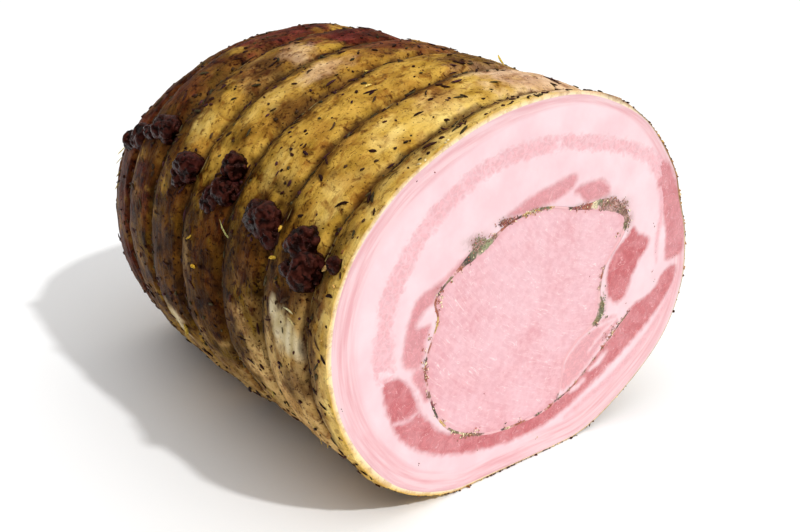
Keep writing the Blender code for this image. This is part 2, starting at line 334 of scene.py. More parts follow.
# Lean muscles cut across: how red each is, and the (x, z) points in mm round it.
LEAN_PATCHES = {
    "right": (0.72, (
        (70, 113), (77, 111.5), (83, 104), (87.5, 95), (92, 86), (93.5, 76), (93, 69), (88, 66.5), (81.5, 67),
        (80.5, 74), (79.5, 82), (77, 89), (74.5, 96), (71, 104),
    )),
    "crescent": (0.52, (
        (-14, 108.6), (-7, 111.8), (0, 114.2), (8, 115.8), (16, 117.4), (21.5, 117.8), (22.6, 114.6),
        (18, 111), (9, 108.6), (0, 107.6), (-8, 107.4),
    )),
    "notch": (0.55, (
        (21.5, 110.5), (25, 112.3), (31, 112.9), (37, 112.4), (41, 109.5), (42, 105.5), (36, 104),
        (29, 104.4), (26, 107),
    )),
    "left": (0.55, (
        (-30, 99.6), (-38, 95.4), (-46, 91.2), (-52, 89.4), (-57, 86.4), (-60, 80), (-62, 73), (-63.2, 66),
        (-61, 61.6), (-55, 60), (-52.8, 64), (-52, 70), (-49.6, 75.4), (-54.6, 76.4), (-54, 79.6),
        (-49, 82.6), (-45.6, 88), (-38, 92.6), (-32, 96.4),
    )),
    "lens": (0.5, (
        (-58.6, 57.4), (-56, 60), (-52.6, 59), (-51.4, 52), (-50.4, 46), (-52.4, 45.4), (-55.6, 51.4),
    )),
    "bottom": (0.92, (
        (-71.6, 59.6), (-66, 59.8), (-61, 56.4), (-57, 50.8), (-54.8, 44.6), (-51.6, 38.6), (-46.6, 33.4),
        (-41, 29), (-36, 27), (-26, 22.6), (-12, 19.6), (4, 19.2), (16, 21), (24, 23.6), (30, 26.6),
        (38, 32.4), (47, 39.2), (55, 46), (62, 51.6), (70, 53.4), (76, 56), (80, 61), (87, 63.4), (90.4, 60),
        (88.4, 54.6), (84.6, 50), (77, 43.2), (68, 37), (58, 31), (46, 24.6), (35, 20), (24, 15.4),
        (10, 12.4), (-4, 11.6), (-18, 12.8), (-32, 15.6), (-45, 20), (-56, 26.4), (-64.6, 34.6), (-69, 44),
        (-71.4, 52),
    )),
    "eye": (1.0, (
        (43.8, 69), (45.4, 76), (50, 81), (55, 84.6), (58.4, 87.6), (62, 84), (67, 81.8), (69.6, 78.6),
        (67, 74.4), (62.6, 69.6), (59.6, 64), (57, 58.6), (52.6, 55.6), (48, 57.4), (45, 61.4),
    )),
    "flap": (0.28, (
        (20.5, 33), (21.4, 38), (26, 43.4), (33, 47.6), (41, 50), (49.5, 50.4), (53, 46.8), (46, 40.6),
        (38, 34), (30, 28), (23, 24.6), (20.2, 26.6),
    )),
}
# Threads and pads of white fat that part the lean: x, z and half-width in mm.
FAT_STREAKS = (
    (
        (-73, 63, 0.8), (-67, 61.4, 0.8), (-62, 58.8, 0.9), (-58, 53, 0.7), (-55.4, 47, 0.7),
        (-52.6, 41, 0.8), (-48, 36.4, 1.3),
    ),
    ((-50, 38.6, 0.8), (-46, 34.6, 2), (-42, 31, 2.2), (-39, 28.6, 1)),
    ((-67, 41.4, 0.3), (-61, 40.6, 0.35), (-55, 42.2, 0.3)),
    ((-55, 77.4, 1.4), (-51, 79.6, 2.4), (-47.6, 82.6, 1.2)),
    ((26.5, 23, 0.8), (30.4, 23.8, 1.3), (34, 25.4, 0.8)),
    (
        (54, 48.6, 0.5), (45, 48.4, 0.5), (36, 47.4, 0.45), (28, 43.6, 0.45), (22.4, 38.6, 0.4),
        (20.4, 33, 0.35),
    ),
    ((36, 38.4, 0.3), (44, 44, 0.35), (52, 48.4, 0.4)),
    ((38, 29, 0.7), (43, 31.4, 1.4), (47, 34, 0.9)),
    ((11.4, 136, 0.6), (11.8, 127, 0.6)),
)
# Where juice and crushed herbs tinted the belly by the seam: x, z and half-widths in mm, and how strongly.
BELLY_STAINS = (
    (-29, 102.5, 5.5, 2.6, 0.75), (-14, 107.6, 4.5, 1.2, 0.6), (40, 103, 6.5, 2.2, 0.6),
    (51, 98.6, 4, 2.8, 0.6), (56.4, 91.5, 2, 4, 0.45), (44, 57, 1.6, 5, 0.35), (-46.4, 87.4, 2.6, 2.6, 0.35),
    (2, 108, 6, 0.8, 0.35), (25, 104.4, 5, 1, 0.4),
)


def girth(depth):
    """Width, height and sideways shift (m) of the section at depths from the cut, as smooth curves."""
    table = np.array(GIRTH) * (MM, 1, 1, MM)
    places, numbers = table[:, 0], table[:, 1:]
    slopes = np.gradient(numbers, places, axis=0)
    at = np.clip(np.searchsorted(places, depth, side="right") - 1, 0, len(places) - 2)
    span = (places[at + 1] - places[at])[..., None]
    t = (depth - places[at])[..., None] / span
    return np.moveaxis(
        (2 * t**3 - 3 * t**2 + 1) * numbers[at] + (t**3 - 2 * t**2 + t) * span * slopes[at]
        + (3 * t**2 - 2 * t**3) * numbers[at + 1] + (t**3 - t**2) * span * slopes[at + 1], -1, 0
    )


def degrees_from(turn, centre=0):
    """How many degrees round the section each direction lies from the centre, from -180 to 180."""
    return (np.degrees(turn) - centre + 180) % 360 - 180


def hill(distance, half_width):
    """The height, up to 1, of a smooth bump at a distance from its middle."""
    return np.exp(-((distance / half_width) ** 2))


def by_degrees(table, turn):
    """The values in these directions, from a table of degrees round the section and values."""
    degrees, values = np.array(table, float).T
    return np.interp(degrees_from(turn), degrees, values)


def roll_skin(turn, path, lift=0.0):
    """Points on the roll's outside and their outward directions. turn is the direction from the axis. path is
    the distance from the cut along the skin, which bends over the shoulder at the roasted end."""
    turn, path = np.broadcast_arrays(np.asarray(turn, float), np.asarray(path, float))
    width, height, shift = girth(np.minimum(path, LAST_STRING))
    flat, normal = loop(RIND_OUTLINE, turn)
    flat = flat * np.stack([width, height], -1)
    flat[..., 0] += shift
    bend = np.clip((path - SHOULDER_START) / SHOULDER_RADIUS, 0, math.pi / 2)
    inward = SHOULDER_RADIUS * (1 - np.cos(bend)) + np.maximum(0, path - SKIN_LENGTH)
    flat = AXIS + (flat - AXIS) * (1 - inward / (END_REACH + SHOULDER_RADIUS))[..., None]
    depth = np.minimum(path, SHOULDER_START) + SHOULDER_RADIUS * np.sin(bend)
    out = np.stack([normal[..., 0] * np.cos(bend), np.sin(bend), normal[..., 1] * np.cos(bend)], -1)
    last_bay = (path - LAST_STRING) / (SKIN_LENGTH + 3 * MM - LAST_STRING)
    bay = np.where(path > LAST_STRING, last_bay, (path - FIRST_STRING) / STRING_PITCH % 1)
    ridge = RIDGE_RISE * np.sin(math.pi * np.clip(bay, 0, 1)) ** 0.6 - STRING_DEPTH
    points = in_space(flat, depth) + out * (ridge + lift)[..., None]
    points[..., 2] = np.maximum(points[..., 2], -np.asarray(lift))
    return points, out


def smooth_line(line, parts=8):
    """More rows on a smooth open curve through the rows of line."""
    rows = np.array(line, float)
    rows = np.concatenate([2 * rows[:1] - rows[1:2], rows, 2 * rows[-1:] - rows[-2:-1]])
    t = np.linspace(0, 1, parts, endpoint=False)[:, None]
    found = [curve(*four, t) for four in zip(rows, rows[1:], rows[2:], rows[3:])]
    return np.concatenate(found + [rows[-2:-1]])


def from_line(spots, start, step):
    """How far each spot lies from one straight step, and how far along it, up to 1, the nearest point is."""
    t = np.clip((spots - start) @ step / (step @ step), 0, 1)
    return np.linalg.norm(spots - start - t[:, None] * step, axis=1), t


def streak_depth(spots, line):
    """How many mm inside a streak each (x, z) spot lies, negative outside it."""
    rows = smooth_line(line)
    depth = np.full(len(spots), -99.0)
    for start, step in zip(rows, np.diff(rows, axis=0)):
        away, t = from_line(spots, start[:2], step[:2])
        depth = np.maximum(depth, start[2] + t * step[2] - away)
    return depth


def patch_depth(spots, outline):
    """How many mm inside a smooth closed outline each (x, z) spot lies, negative outside it."""
    rows = on_loop(outline, np.arange(0, len(outline), 0.125)) / MM
    away, inside = np.full(len(spots), 99.0), np.zeros(len(spots), bool)
    for start, end in zip(rows, np.roll(rows, -1, axis=0)):
        step = end - start
        away = np.minimum(away, from_line(spots, start, step)[0])
        passes = (start[1] > spots[:, 1]) != (end[1] > spots[:, 1])
        inside ^= passes & (spots[:, 0] < start[0] + (spots[:, 1] - start[1]) * step[0] / (step[1] or 1e-9))
    return np.where(inside, away, -away)


def layers_at(flat):
    """The belly's layers at (x, z) points: mm inside the lean, how red it is, and how blocky."""
    spots = flat.reshape(-1, 2) / MM
    layers = [(0, int(line == LEAN_STREAKS[0]), streak_depth(spots, line)) for line in LEAN_STREAKS]
    layers += [(red_here, 0, patch_depth(spots, outline)) for red_here, outline in LEAN_PATCHES.values()]
    depth, red, blocks = np.full(len(spots), -99.0), np.zeros(len(spots)), np.zeros(len(spots))
    for red_here, blocky, inside in layers:
        red = np.where(inside > depth, red_here, red)
        blocks = np.where(inside > depth, blocky, blocks)
        depth = np.maximum(depth, inside)
    for line in FAT_STREAKS:
        depth = np.minimum(depth, -streak_depth(spots, line))
    return [value.reshape(flat.shape[:-1]) for value in (np.clip(depth, -4, 4), red, blocks)]


def seam_ring(turn, lift):
    """The loin's outline moved outwards, and further at the clumps of herbs."""
    flat, normal = loop(LOIN_OUTLINE, turn)
    grow = np.full(turn.shape, lift)
    for x, z, extra, half_width in SEAM_CLUMPS:
        away = np.linalg.norm(flat - np.array((x, z)) * MM, axis=-1)
        grow = grow + extra * MM * hill(away, half_width * MM) * (lift / SEAM_THICKNESS)
    return flat + normal * grow[..., None]


turn = all_round(BELLY_TURNS)
bore = seam_ring(turn, SEAM_THICKNESS)
rim = roll_skin(turn, 0.0, -RIND_THICKNESS * by_degrees(RIND_SHARES, turn))[0][:, ::2]
share = np.linspace(0, 1, BELLY_ROWS)[:, None, None]
cut_face = bore + (rim - bore) * share
lean, red, blocks = layers_at(cut_face)
sunk = 0.15 * MM * np.clip(lean + 0.5, 0, 1)  # lean dries and sinks a little below the fat
front = in_space(cut_face, knife_wave(cut_face) + sunk)
side_paths = [*np.linspace(0.03, 0.97, 10) * SHOULDER_START, *np.linspace(SHOULDER_START, SKIN_LENGTH, 5)]
on_shoulder = np.greater_equal(side_paths, SHOULDER_START)
insets = np.where(on_shoulder, SIDE_INSETS[1], SIDE_INSETS[0])
side = np.stack([roll_skin(turn, path, -inset)[0] for path, inset in zip(side_paths, insets)])
share_back = np.linspace(1, 0, END_ROWS)[:, None, None]
end_rim = side[-1][:, ::2]
end_face = bore + (end_rim - bore) * share_back * 0.99
back = in_space(end_face, roast_depth(end_face, 11) - 1.2 * MM * share_back[..., 0] ** 4)
lean_back, red_back, blocks_back = layers_at(bore + (rim - bore) * share_back)
bore_side = np.stack([in_space(bore, depth * ROLL_LENGTH) for depth in np.linspace(0.94, 0.02, 6)])
rings = np.concatenate([front, side, back, bore_side])
# The soft layer under the rind is thin on the right and thick on the left: degrees round the section, and mm.
SKIN_LAYER = (
    (-180, 11), (-150, 10.5), (-120, 8.5), (-90, 9), (-60, 13), (-30, 13), (0, 9), (30, 5), (60, 3),
    (90, 4.5), (120, 7), (150, 9.5), (180, 11),
)
under = np.linalg.norm(rim - bore, axis=-1) * (1 - share[..., 0]) / MM
under_back = np.linalg.norm(rim - bore, axis=-1) * (1 - share_back[..., 0]) / MM
stain = np.zeros(under.shape)
for x, z, wide, tall, strength in BELLY_STAINS:
    away = ((cut_face[..., 0] / MM - x) / wide) ** 2 + ((cut_face[..., 1] / MM - z) / tall) ** 2
    stain = np.maximum(stain, strength * np.exp(-away))


def circle(turn):
    """Points on a circle of radius 1 in these directions."""
    return np.stack([np.cos(turn), np.sin(turn)], -1)


def over_belly(on_cut, on_side, on_end, in_bore=0):
    """One value at each point of the belly's rings, from those on the cut, side, end and bore."""
    parts = ((front, on_cut), (side, on_side), (back, on_end), (bore_side, in_bore))
    return np.concatenate([np.broadcast_to(value, part.shape[:2]) for part, value in parts]).astype(float)


# In the space of "layers" a thread of noise is about 30 mm long round the roll and 1.9 mm thick.
depth_under = over_belly(under, 0, under_back, FAR_IN)
rounds = np.broadcast_to(circle(turn), (*depth_under.shape, 2))
values = {
    "lean": over_belly(lean, 0, lean_back), "red": over_belly(red, 0, red_back),
    "blocks": over_belly(blocks, 0, blocks_back), "skin": depth_under / by_degrees(SKIN_LAYER, turn),
    "stain": over_belly(stain, 0, 0),
    "layers": np.concatenate([rounds * 2.6, depth_under[..., None] / 1.9], -1),
    "roast": over_belly(0, on_shoulder[:, None], 1),
}

# Cooked, cured belly: opaque white-pink fat and rosier lean, with a wet, faintly greasy gloss. The streaks'
# edges are ragged at about a millimetre, where lobes of fat press into the lean.
belly_finish, tree, shader = finish("cooked cured belly", WET_MEAT)
place = add("TexCoord", output="Object")
lean = add("Attribute", output="Fac", attribute_name="lean")
red = add("Attribute", output="Fac", attribute_name="red")
blocks = add("Attribute", output="Fac", attribute_name="blocks")
skin = add("Attribute", output="Fac", attribute_name="skin")
layers = add("Attribute", output="Vector", attribute_name="layers")
ragged = add("TexNoise", {"Vector": place, "Scale": 1 / (3.2 * MM), "Detail": 2.5, "Roughness": 0.5})
ragged = add("MapRange", {"Value": ragged, "To Min": -2.6, "To Max": 2.6})
how_ragged = add("MapRange", {"Value": blocks, "To Min": 0.5})
ragged = add("Math", {0: ragged, 1: how_ragged}, operation="MULTIPLY")
inside = add("Math", {0: lean, 1: ragged}, operation="ADD")
shown = add("MapRange", {"Value": inside, "From Min": -1.5, "From Max": 1.7}, interpolation_type="SMOOTHSTEP")
# The outer streak is bundled into lobes about 3.4 mm across, with soft films of fat between them.
swirl = add("TexNoise", {"Vector": place, "Scale": 1 / (5 * MM), "Detail": 2}, "Color")
bent = add("Mix", {"Factor": 0.006, "A": place, "B": swirl}, data_type="VECTOR")
film = add("TexVoronoi", {"Vector": bent, "Scale": 1 / (3.4 * MM)}, feature="DISTANCE_TO_EDGE")
film = add("MapRange", {"Value": film, "From Min": 0.16, "From Max": 0, "To Max": 0.4})
film = add("Math", {0: film, 1: blocks}, operation="MULTIPLY")
shown = add("Math", {0: shown, 1: film}, operation="SUBTRACT", use_clamp=True)
grain = add("TexNoise", {"Vector": bent, "Scale": 1 / (1.6 * MM), "Detail": 4, "Distortion": 0.8})
flesh = add("Mix", {"Factor": red, "A": linear("e7b2b8"), "B": linear("be5f63")}, data_type="RGBA")
patchy = add("TexNoise", {"Vector": bent, "Scale": 1 / (6 * MM), "Detail": 3, "Distortion": 0.6})
patchy = add("MapRange", {"Value": patchy, "From Min": 0.35, "From Max": 0.68, "To Max": 0.35})
flesh = add("Mix", {"Factor": patchy, "A": flesh, "B": linear("e8adb0")}, data_type="RGBA")
# Hair-fine white lines of connective tissue wander through the lean about every 4 mm.
drift = add("TexNoise", {"Vector": bent, "Scale": 1 / (7 * MM), "Detail": 1.5, "Distortion": 2})
vein = add("Math", {0: drift, 1: 9}, operation="MULTIPLY")
vein = add("Math", {0: vein, 1: 1}, operation="PINGPONG")
vein = add("MapRange", {"Value": vein, "From Min": 0.09, "From Max": 0, "To Max": 0.5})
flesh = add("Mix", {"Factor": vein, "A": flesh, "B": linear("f1c9cb")}, data_type="RGBA")
mottle = add("MapRange", {"Value": grain, "From Min": 0.42, "From Max": 0.62, "To Min": 0.93, "To Max": 1.05})
flesh = add("Mix", {"Factor": 1, "A": flesh, "B": mottle}, data_type="RGBA", blend_type="MULTIPLY")
cloud = add("TexNoise", {"Vector": place, "Scale": 1 / (14 * MM), "Detail": 3})
cloud = add("MapRange", {"Value": cloud, "From Min": 0.35, "From Max": 0.65})
fat = add("Mix", {"Factor": cloud, "A": linear("eac6cb"), "B": linear("efd3d7")}, data_type="RGBA")
# The layer under the rind is drawn out in pink threads that follow the rind.
thread = add("TexNoise", {"Vector": layers, "Scale": 1, "Detail": 4, "Roughness": 0.6})
thread = add("MapRange", {"Value": thread, "From Min": 0.36, "From Max": 0.6})
rosy = add("Mix", {"Factor": thread, "A": linear("e1a9ae"), "B": linear("ecc8cb")}, data_type="RGBA")
below = add("MapRange", {"Value": skin, "From Min": 1.15, "From Max": 0.6}, interpolation_type="SMOOTHSTEP")
fat = add("Mix", {"Factor": below, "A": fat, "B": rosy}, data_type="RGBA")
meat = add("Mix", {"Factor": shown, "A": fat, "B": flesh}, data_type="RGBA")
stain = add("Attribute", output="Fac", attribute_name="stain")
soaked = add("MapRange", {"Value": grain, "From Min": 0.35, "From Max": 0.6, "To Min": 0.5, "To Max": 1.2})
stain = add("Math", {0: stain, 1: soaked}, operation="MULTIPLY")
meat = add("Mix", {"Factor": stain, "A": meat, "B": linear("a67f78")}, data_type="RGBA")
tree.links.new(roasted(meat, place, "b98048"), shader.inputs["Base Color"])
height = add("Math", {0: shown, 1: -0.4}, operation="MULTIPLY")
height = add("Math", {0: height, 1: grain}, operation="ADD")
bump = add("Bump", {"Height": height, "Strength": 0.35, "Distance": 0.25 * MM})
tree.links.new(bump, shader.inputs["Normal"])

belly = ringed("belly_slice", rings, True, belly_finish, values, 50)
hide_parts("belly")

# ---- The herb seam -----------------------------------------------------------------------------------------
# Chopped rosemary, fennel, garlic and pepper spread on the belly before it was rolled. At the cut it is a
# thin, ragged, many-coloured line round the loin, with a tail where the flap lies on the belly.
SEAM_TURNS = 900
SEAM_ROWS = 12
BARE_WEIGHT = 0.12  # the bare colour's, where a mark's own is up to 3
HERBS = {
    "green": "7b8062", "bright": "929972", "dark": "474033", "olive": "7d7550", "brown": "8a6757",
    "rust": "a8624a", "cream": "ecdfb6", "gold": "cda95c", "wine": "8c474a", "mauve": "bb938b",
    "blush": "e6b0b4",
}
# What lies where on the cut line: x and z in mm, its colour, and how far it reaches in mm.
SEAM_MARKS = (
    (-53, 62, "dark", 1.6), (-52.6, 60, "rust", 1.5), (-52, 55, "rust", 1.6), (-50.6, 47.5, "brown", 1.4),
    (-48, 43, "wine", 1.4), (-48.2, 41, "dark", 1.3), (-47.5, 38, "dark", 1.5), (-42.5, 34, "gold", 1.6),
    (-37.5, 27.5, "olive", 2.2), (-33, 24, "cream", 1.7), (-29, 23, "olive", 2), (-25, 21.8, "brown", 2),
    (-11, 19.2, "dark", 1.2), (-9, 18.6, "cream", 1.3), (-10.6, 21.4, "dark", 0.9), (-3, 18.8, "rust", 2.5),
    (7.5, 19.3, "dark", 1.3), (20, 22.3, "dark", 1.8), (14, 20.8, "rust", 2), (-52.5, 67, "rust", 2),
    (-51, 70.5, "rust", 1.6), (-46.9, 75.6, "gold", 2.2), (-46.4, 80, "rust", 2), (-47.2, 84, "rust", 1.4),
    (-44.7, 87.6, "dark", 1.5), (-40.6, 90.2, "olive", 1.3), (-36, 93, "rust", 1.6), (-32, 96, "dark", 2.4),
    (-30, 97.6, "green", 1.6), (-28.4, 99.6, "brown", 1.2), (-26, 99, "bright", 1.8),
    (-27, 102, "mauve", 2.2), (-24.6, 101.6, "olive", 1.2), (-22.4, 100.6, "bright", 1.6),
    (-22, 103, "mauve", 1.4), (-29.6, 101.4, "mauve", 1.8), (-20, 103, "brown", 1.8),
    (-15.6, 105.8, "rust", 2), (-13.4, 106.6, "dark", 1.2), (-10, 106.4, "rust", 1.8), (-8, 107, "dark", 1.2),
    (-4.4, 107, "gold", 1.3), (-4, 106.4, "dark", 1), (0.6, 107.2, "cream", 1.8), (3.4, 107.4, "green", 1.4),
    (6.9, 107, "green", 1.5), (8.6, 106.6, "gold", 1), (19.7, 104, "dark", 1.1), (24, 103.4, "wine", 2.2),
    (29, 102.4, "rust", 2.6), (34, 103, "cream", 1.4), (37, 103, "green", 1.5), (41, 101.6, "mauve", 2.6),
    (46, 99.4, "mauve", 3), (48.8, 96.7, "dark", 1), (52, 97, "brown", 2.6), (54.4, 95.4, "dark", 1.4),
    (53, 99.4, "olive", 1.4), (55.6, 92, "mauve", 2.4), (54.6, 88.6, "dark", 1.1), (52.6, 90, "olive", 1.6),
    (49, 87, "olive", 1.2), (47.5, 85.8, "dark", 0.9), (42.4, 61, "green", 1.2), (43, 57, "olive", 2),
    (42.6, 53.4, "green", 2), (45.4, 51.4, "dark", 1.6), (40, 49, "dark", 1.4), (40, 50.6, "olive", 1.8),
    (35.6, 46.6, "olive", 1), (25, 24, "brown", 1.4), (29, 27, "rust", 1.4), (34, 29.5, "mauve", 1.5),
    (39, 34, "brown", 1.4), (44, 37.6, "rust", 1.4), (49, 41.4, "brown", 1.4), (50, 42.6, "gold", 1.2),
    (53, 45.8, "dark", 1.4), (56, 47.4, "olive", 1.8), (59.4, 49.5, "dark", 1.7), (31, 47, "blush", 3.5),
    (26, 44, "blush", 3.5), (22, 40, "blush", 3.5), (20.5, 34, "blush", 3.5), (20, 29, "blush", 3.5),
    (18, 24.5, "blush", 2), (39.5, 66, "mauve", 1.6), (40.2, 71, "rust", 1.2), (41, 74, "mauve", 1.4),
    (43, 78, "blush", 2.6), (47, 82, "blush", 2.6),
)
# The tail's line on the cut: x, z and thickness in mm.
SEAM_TAIL = (
    (18, 21.6, 1.0), (25, 23.6, 1.0), (33, 28, 1.0), (43, 35.5, 1.1), (53, 44, 2.2), (60.5, 49.8, 1.8),
)


def seasoned(flat, bare):
    """The colour of the seam at (x, z) points: that of the nearest marks, fading to a bare colour between
    them. Its alpha is the share of herbs."""
    spots = flat.reshape(-1, 2) / MM
    mottle = in_space(flat.reshape(-1, 2), 0)
    spots = spots + 1.1 * np.stack([lumps(mottle, 0.9 * MM, 26), lumps(mottle, 0.9 * MM, 27)], -1)
    weight = np.full((len(spots), 1), BARE_WEIGHT)
    total = weight * linear(bare)
    herbs = np.zeros((len(spots), 1))
    for x, z, herb, reach in SEAM_MARKS:
        nearness = np.exp(-(((spots - (x, z)) ** 2).sum(1) / reach**2) ** 1.5)[:, None] * 3
        total += nearness * linear(HERBS[herb])
        weight += nearness
        herbs += nearness * (herb != "blush")
    colour = total / weight
    colour[:, 3:] = herbs / weight
    return colour.reshape(*flat.shape[:-1], 4)


# Chopped herbs and garlic: damp, dull and rough, with painted shade darkening the low spots of their bumps,
# and pale where the garlic shows.
herb_finish, tree, shader = finish("chopped rosemary and garlic", {"Roughness": 0.7, "IOR": 1.42})
place = add("TexCoord", output="Object")
herb = add("Attribute", output="Color", attribute_name="herb")
amount = add("Attribute", output="Alpha", attribute_name="herb")
chop = add("TexNoise", {"Vector": place, "Scale": 1 / (0.8 * MM), "Detail": 4})
# Painted shade: darker where the chop, which is also the bump's height, is low.
dark = add("MapRange", {"Value": chop, "From Min": 0.52, "From Max": 0.36, "To Max": 0.55})
dark = add("Math", {0: dark, 1: amount}, operation="MULTIPLY")
mixed = add("Mix", {"Factor": dark, "A": herb, "B": linear("33261a")}, data_type="RGBA")
pale = add("MapRange", {"Value": chop, "From Min": 0.58, "From Max": 0.7, "To Max": 0.45})
pale = add("Math", {0: pale, 1: amount}, operation="MULTIPLY")
mixed = add("Mix", {"Factor": pale, "A": mixed, "B": linear("dcc48e")}, data_type="RGBA")
tree.links.new(mixed, shader.inputs["Base Color"])
bump = add("Bump", {"Height": chop, "Strength": 0.5, "Distance": 0.15 * MM})
tree.links.new(bump, shader.inputs["Normal"])

turn = all_round(SEAM_TURNS)
inner, outer = loop(LOIN_OUTLINE, turn)[0], seam_ring(turn, SEAM_THICKNESS)
share = np.linspace(-0.12, 1.12, SEAM_ROWS)[:, None, None]
seam_face = inner + (outer - inner) * share
amount = seasoned(seam_face, "e6b6b8")[..., 3] ** 2  # nothing stands out where the seam is bare
spots = in_space(seam_face, 0)
chopped = (0.3 * lumps(spots, 1.3 * MM, 21) + 0.2 * lumps(spots, 0.7 * MM, 22)) * amount
sink = 0.15 * (2 * share[..., 0] - 1) ** 6
front = in_space(seam_face, knife_wave(seam_face) + (chopped + sink) * MM)
back_face = seam_face[::-1]
rough = lumps(in_space(back_face, 0), 1.5 * MM, 23) - sink[::-1]
back = in_space(back_face, roast_depth(back_face, 7) + 0.8 * MM * rough)
rings = np.concatenate([front, back])
charred = seasoned(back_face, "4a2c1a") * 0.1 + np.array(linear("3c2012"))
colours = np.concatenate([seasoned(seam_face, "e6b6b8"), charred])
seam = ringed("herb_seam_line", rings, True, herb_finish, {"herb": colours})
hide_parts("herb_seam")

line = smooth_line(SEAM_TAIL) * MM
along = np.gradient(line[:, :2], axis=0)
along /= np.linalg.norm(along, axis=1, keepdims=True)
across = np.stack([along[:, 1], -along[:, 0]], -1)
corner = np.linspace(0, math.tau, 16, endpoint=False)
ragged = 1 + 0.5 * lumps(in_space(line[:, :2], 0), 2 * MM, 24)
half = (line[:, 2] * ragged / 2)[:, None] * np.minimum(1, np.arange(len(line))[::-1] / 3 + 0.3)[:, None]
tail_flat = line[:, None, :2] + across[:, None] * (half * np.cos(corner))[..., None]
spots = in_space(tail_flat, np.sin(corner) * MM)
tail_depth = 0.9 * MM * (np.sin(corner) + 0.75) + 0.2 * MM * lumps(spots, 0.9 * MM, 25)
colours = seasoned(tail_flat, "d9989a")
tail = ringed("herb_seam_tail", in_space(tail_flat, tail_depth), False, herb_finish, {"herb": colours})
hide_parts("herb_seam")

draw = np.random.default_rng(824)
# An irregular crumb: the twelve corners and twenty faces of an icosahedron.
GOLDEN = (1 + math.sqrt(5)) / 2
CRUMB = np.array(
    [(0, a, b * GOLDEN) for a in (-1, 1) for b in (-1, 1)]
    + [(a, b * GOLDEN, 0) for a in (-1, 1) for b in (-1, 1)]
    + [(b * GOLDEN, 0, a) for a in (-1, 1) for b in (-1, 1)]
) / math.sqrt(1 + GOLDEN**2)


def hull_faces(points):
    """The triangles of a convex shape's corners, all facing out."""
    faces = []
    for trio in itertools.combinations(range(len(points)), 3):
        a, b, c = points[list(trio)]
        normal = np.cross(b - a, c - a)
        heights = (points - a) @ normal
        if (heights < 1e-9).all():
            faces.append(trio)
        elif (heights > -1e-9).all():
            faces.append(trio[::-1])
    return faces


CRUMB_FACES = hull_faces(CRUMB)


def crumbs_of(sizes, shape, rough):
    """Crumbs with these sizes, times a shape's length, width and thickness in mm, and with rough corners."""
    corners = CRUMB * draw.uniform(1 - rough, 1 + rough, (len(sizes), len(CRUMB), 1))
    return corners * (sizes[:, None, None] * np.array(shape) * MM)


def strewn(name, patterns, faces, places, axes, material, values):
    """Many small bits in one mesh. patterns holds each one's points along its three axes, about its place."""
    count, size = patterns.shape[:2]
    points = places[:, None] + np.einsum("nki,nij->nkj", patterns, axes)
    every = [tuple(corner + size * k for corner in face) for k in range(count) for face in faces]
    values = {key: np.repeat(value, size, axis=0) for key, value in values.items()}
    return piece_from(name, points.reshape(-1, 3), every, material, values)


# Flecks that the knife carried over the cut face: x and z in mm, and colour.
FACE_FLECKS = [
    (7, 7.5, "brown"), (7.6, 8.2, "gold"), (-90, 56, "dark"), (-89.6, 55, "dark"), (-49, 132.5, "wine"),
    (-57, 131, "wine"), (-55, 20.4, "brown"), (-55.2, 19.6, "dark"), (-25, 14.4, "brown"),
    (-22.6, 38.6, "wine"), (-22.2, 38, "rust"), (71.4, 86, "wine"), (72, 84.6, "wine"), (74, 72.4, "wine"),
    (73.4, 64.6, "wine"), (73, 64, "rust"), (74.9, 58.9, "dark"), (75.4, 59.8, "brown"), (57, 54, "rust"),
    (45, 73, "wine"), (33.4, 72.4, "wine"), (87.5, 67.6, "wine"), (86.4, 66.8, "rust"), (89, 68.4, "rust"),
    (44.5, 89.8, "gold"), (22, 24.6, "rust"), (39.4, 68, "rust"), (39.8, 71.6, "rust"), (41.2, 74.4, "rust"),
]
TAIL_TILT = math.atan2(6, 6.5)  # the slope of the tail across the cut
# Where the chopped herbs smeared past the seam: x, z, spread along and across in mm, how many bits, how much
# the smear is tilted, and what it is made of.
SEAM_SMEARS = (
    (41, 101.5, 6, 2.0, 130, 0, ("mauve", "mauve", "brown", "olive", "rust")),
    (50, 98.5, 3.2, 2.4, 110, 0, ("mauve", "brown", "olive", "mauve")),
    (54.5, 91, 1.3, 3.4, 50, 0, ("brown", "olive", "mauve")),
    (-27, 101.5, 3.4, 2.2, 150, 0, ("mauve", "green", "brown", "mauve", "olive")),
    (-14, 106.4, 4, 1.3, 130, 0, ("wine", "brown", "rust", "rust", "dark")),
    (27, 103.4, 4, 1.2, 50, 0, ("rust", "mauve", "wine")),
    (42.5, 57, 1.2, 4.5, 50, 0, ("green", "bright", "olive")),
    (-45, 86, 2, 4, 30, 0, ("rust", "brown", "cream")),
    (0, 107.2, 5, 0.9, 50, 0, ("cream", "gold", "brown", "rust")),
    (-30, 23.4, 5, 1.2, 60, 0, ("cream", "olive", "brown", "rust")),
    (-52, 58, 1, 5, 40, 0, ("rust", "brown", "cream")),
    (48, 42, 6, 3, 40, TAIL_TILT, ("rust", "brown", "olive")),
)
# Loose bits of the seasoning that stand out of the seam at the cut, each 0.4 to 1 mm long.
bits = []
for x, z, wide, tall, count, tilt, kinds in SEAM_SMEARS:
    cos, sin = math.cos(tilt), math.sin(tilt)
    for along, across in draw.normal(0, 0.55, (count, 2)) * (wide, tall):
        spot = (x + along * cos - across * sin, z + along * sin + across * cos)
        bits.append((*spot, draw.choice(kinds)))
for x, z, herb, reach in SEAM_MARKS:
    for _ in range(int(3 + 2 * reach**1.5) if herb != "blush" else 0):
        kind = draw.choice([herb, herb, "brown", "cream", "rust"])
        bits.append((*(np.array((x, z)) + draw.normal(0, reach * 0.34, 2)), kind))
bits += FACE_FLECKS
flat = np.array([bit[:2] for bit in bits]) * MM
shade = np.array([linear(HERBS[bit[2]]) for bit in bits]) * draw.uniform(0.9, 1.5, (len(bits), 1))
shade[:, 3] = 0.2  # a bit is too small to be mottled
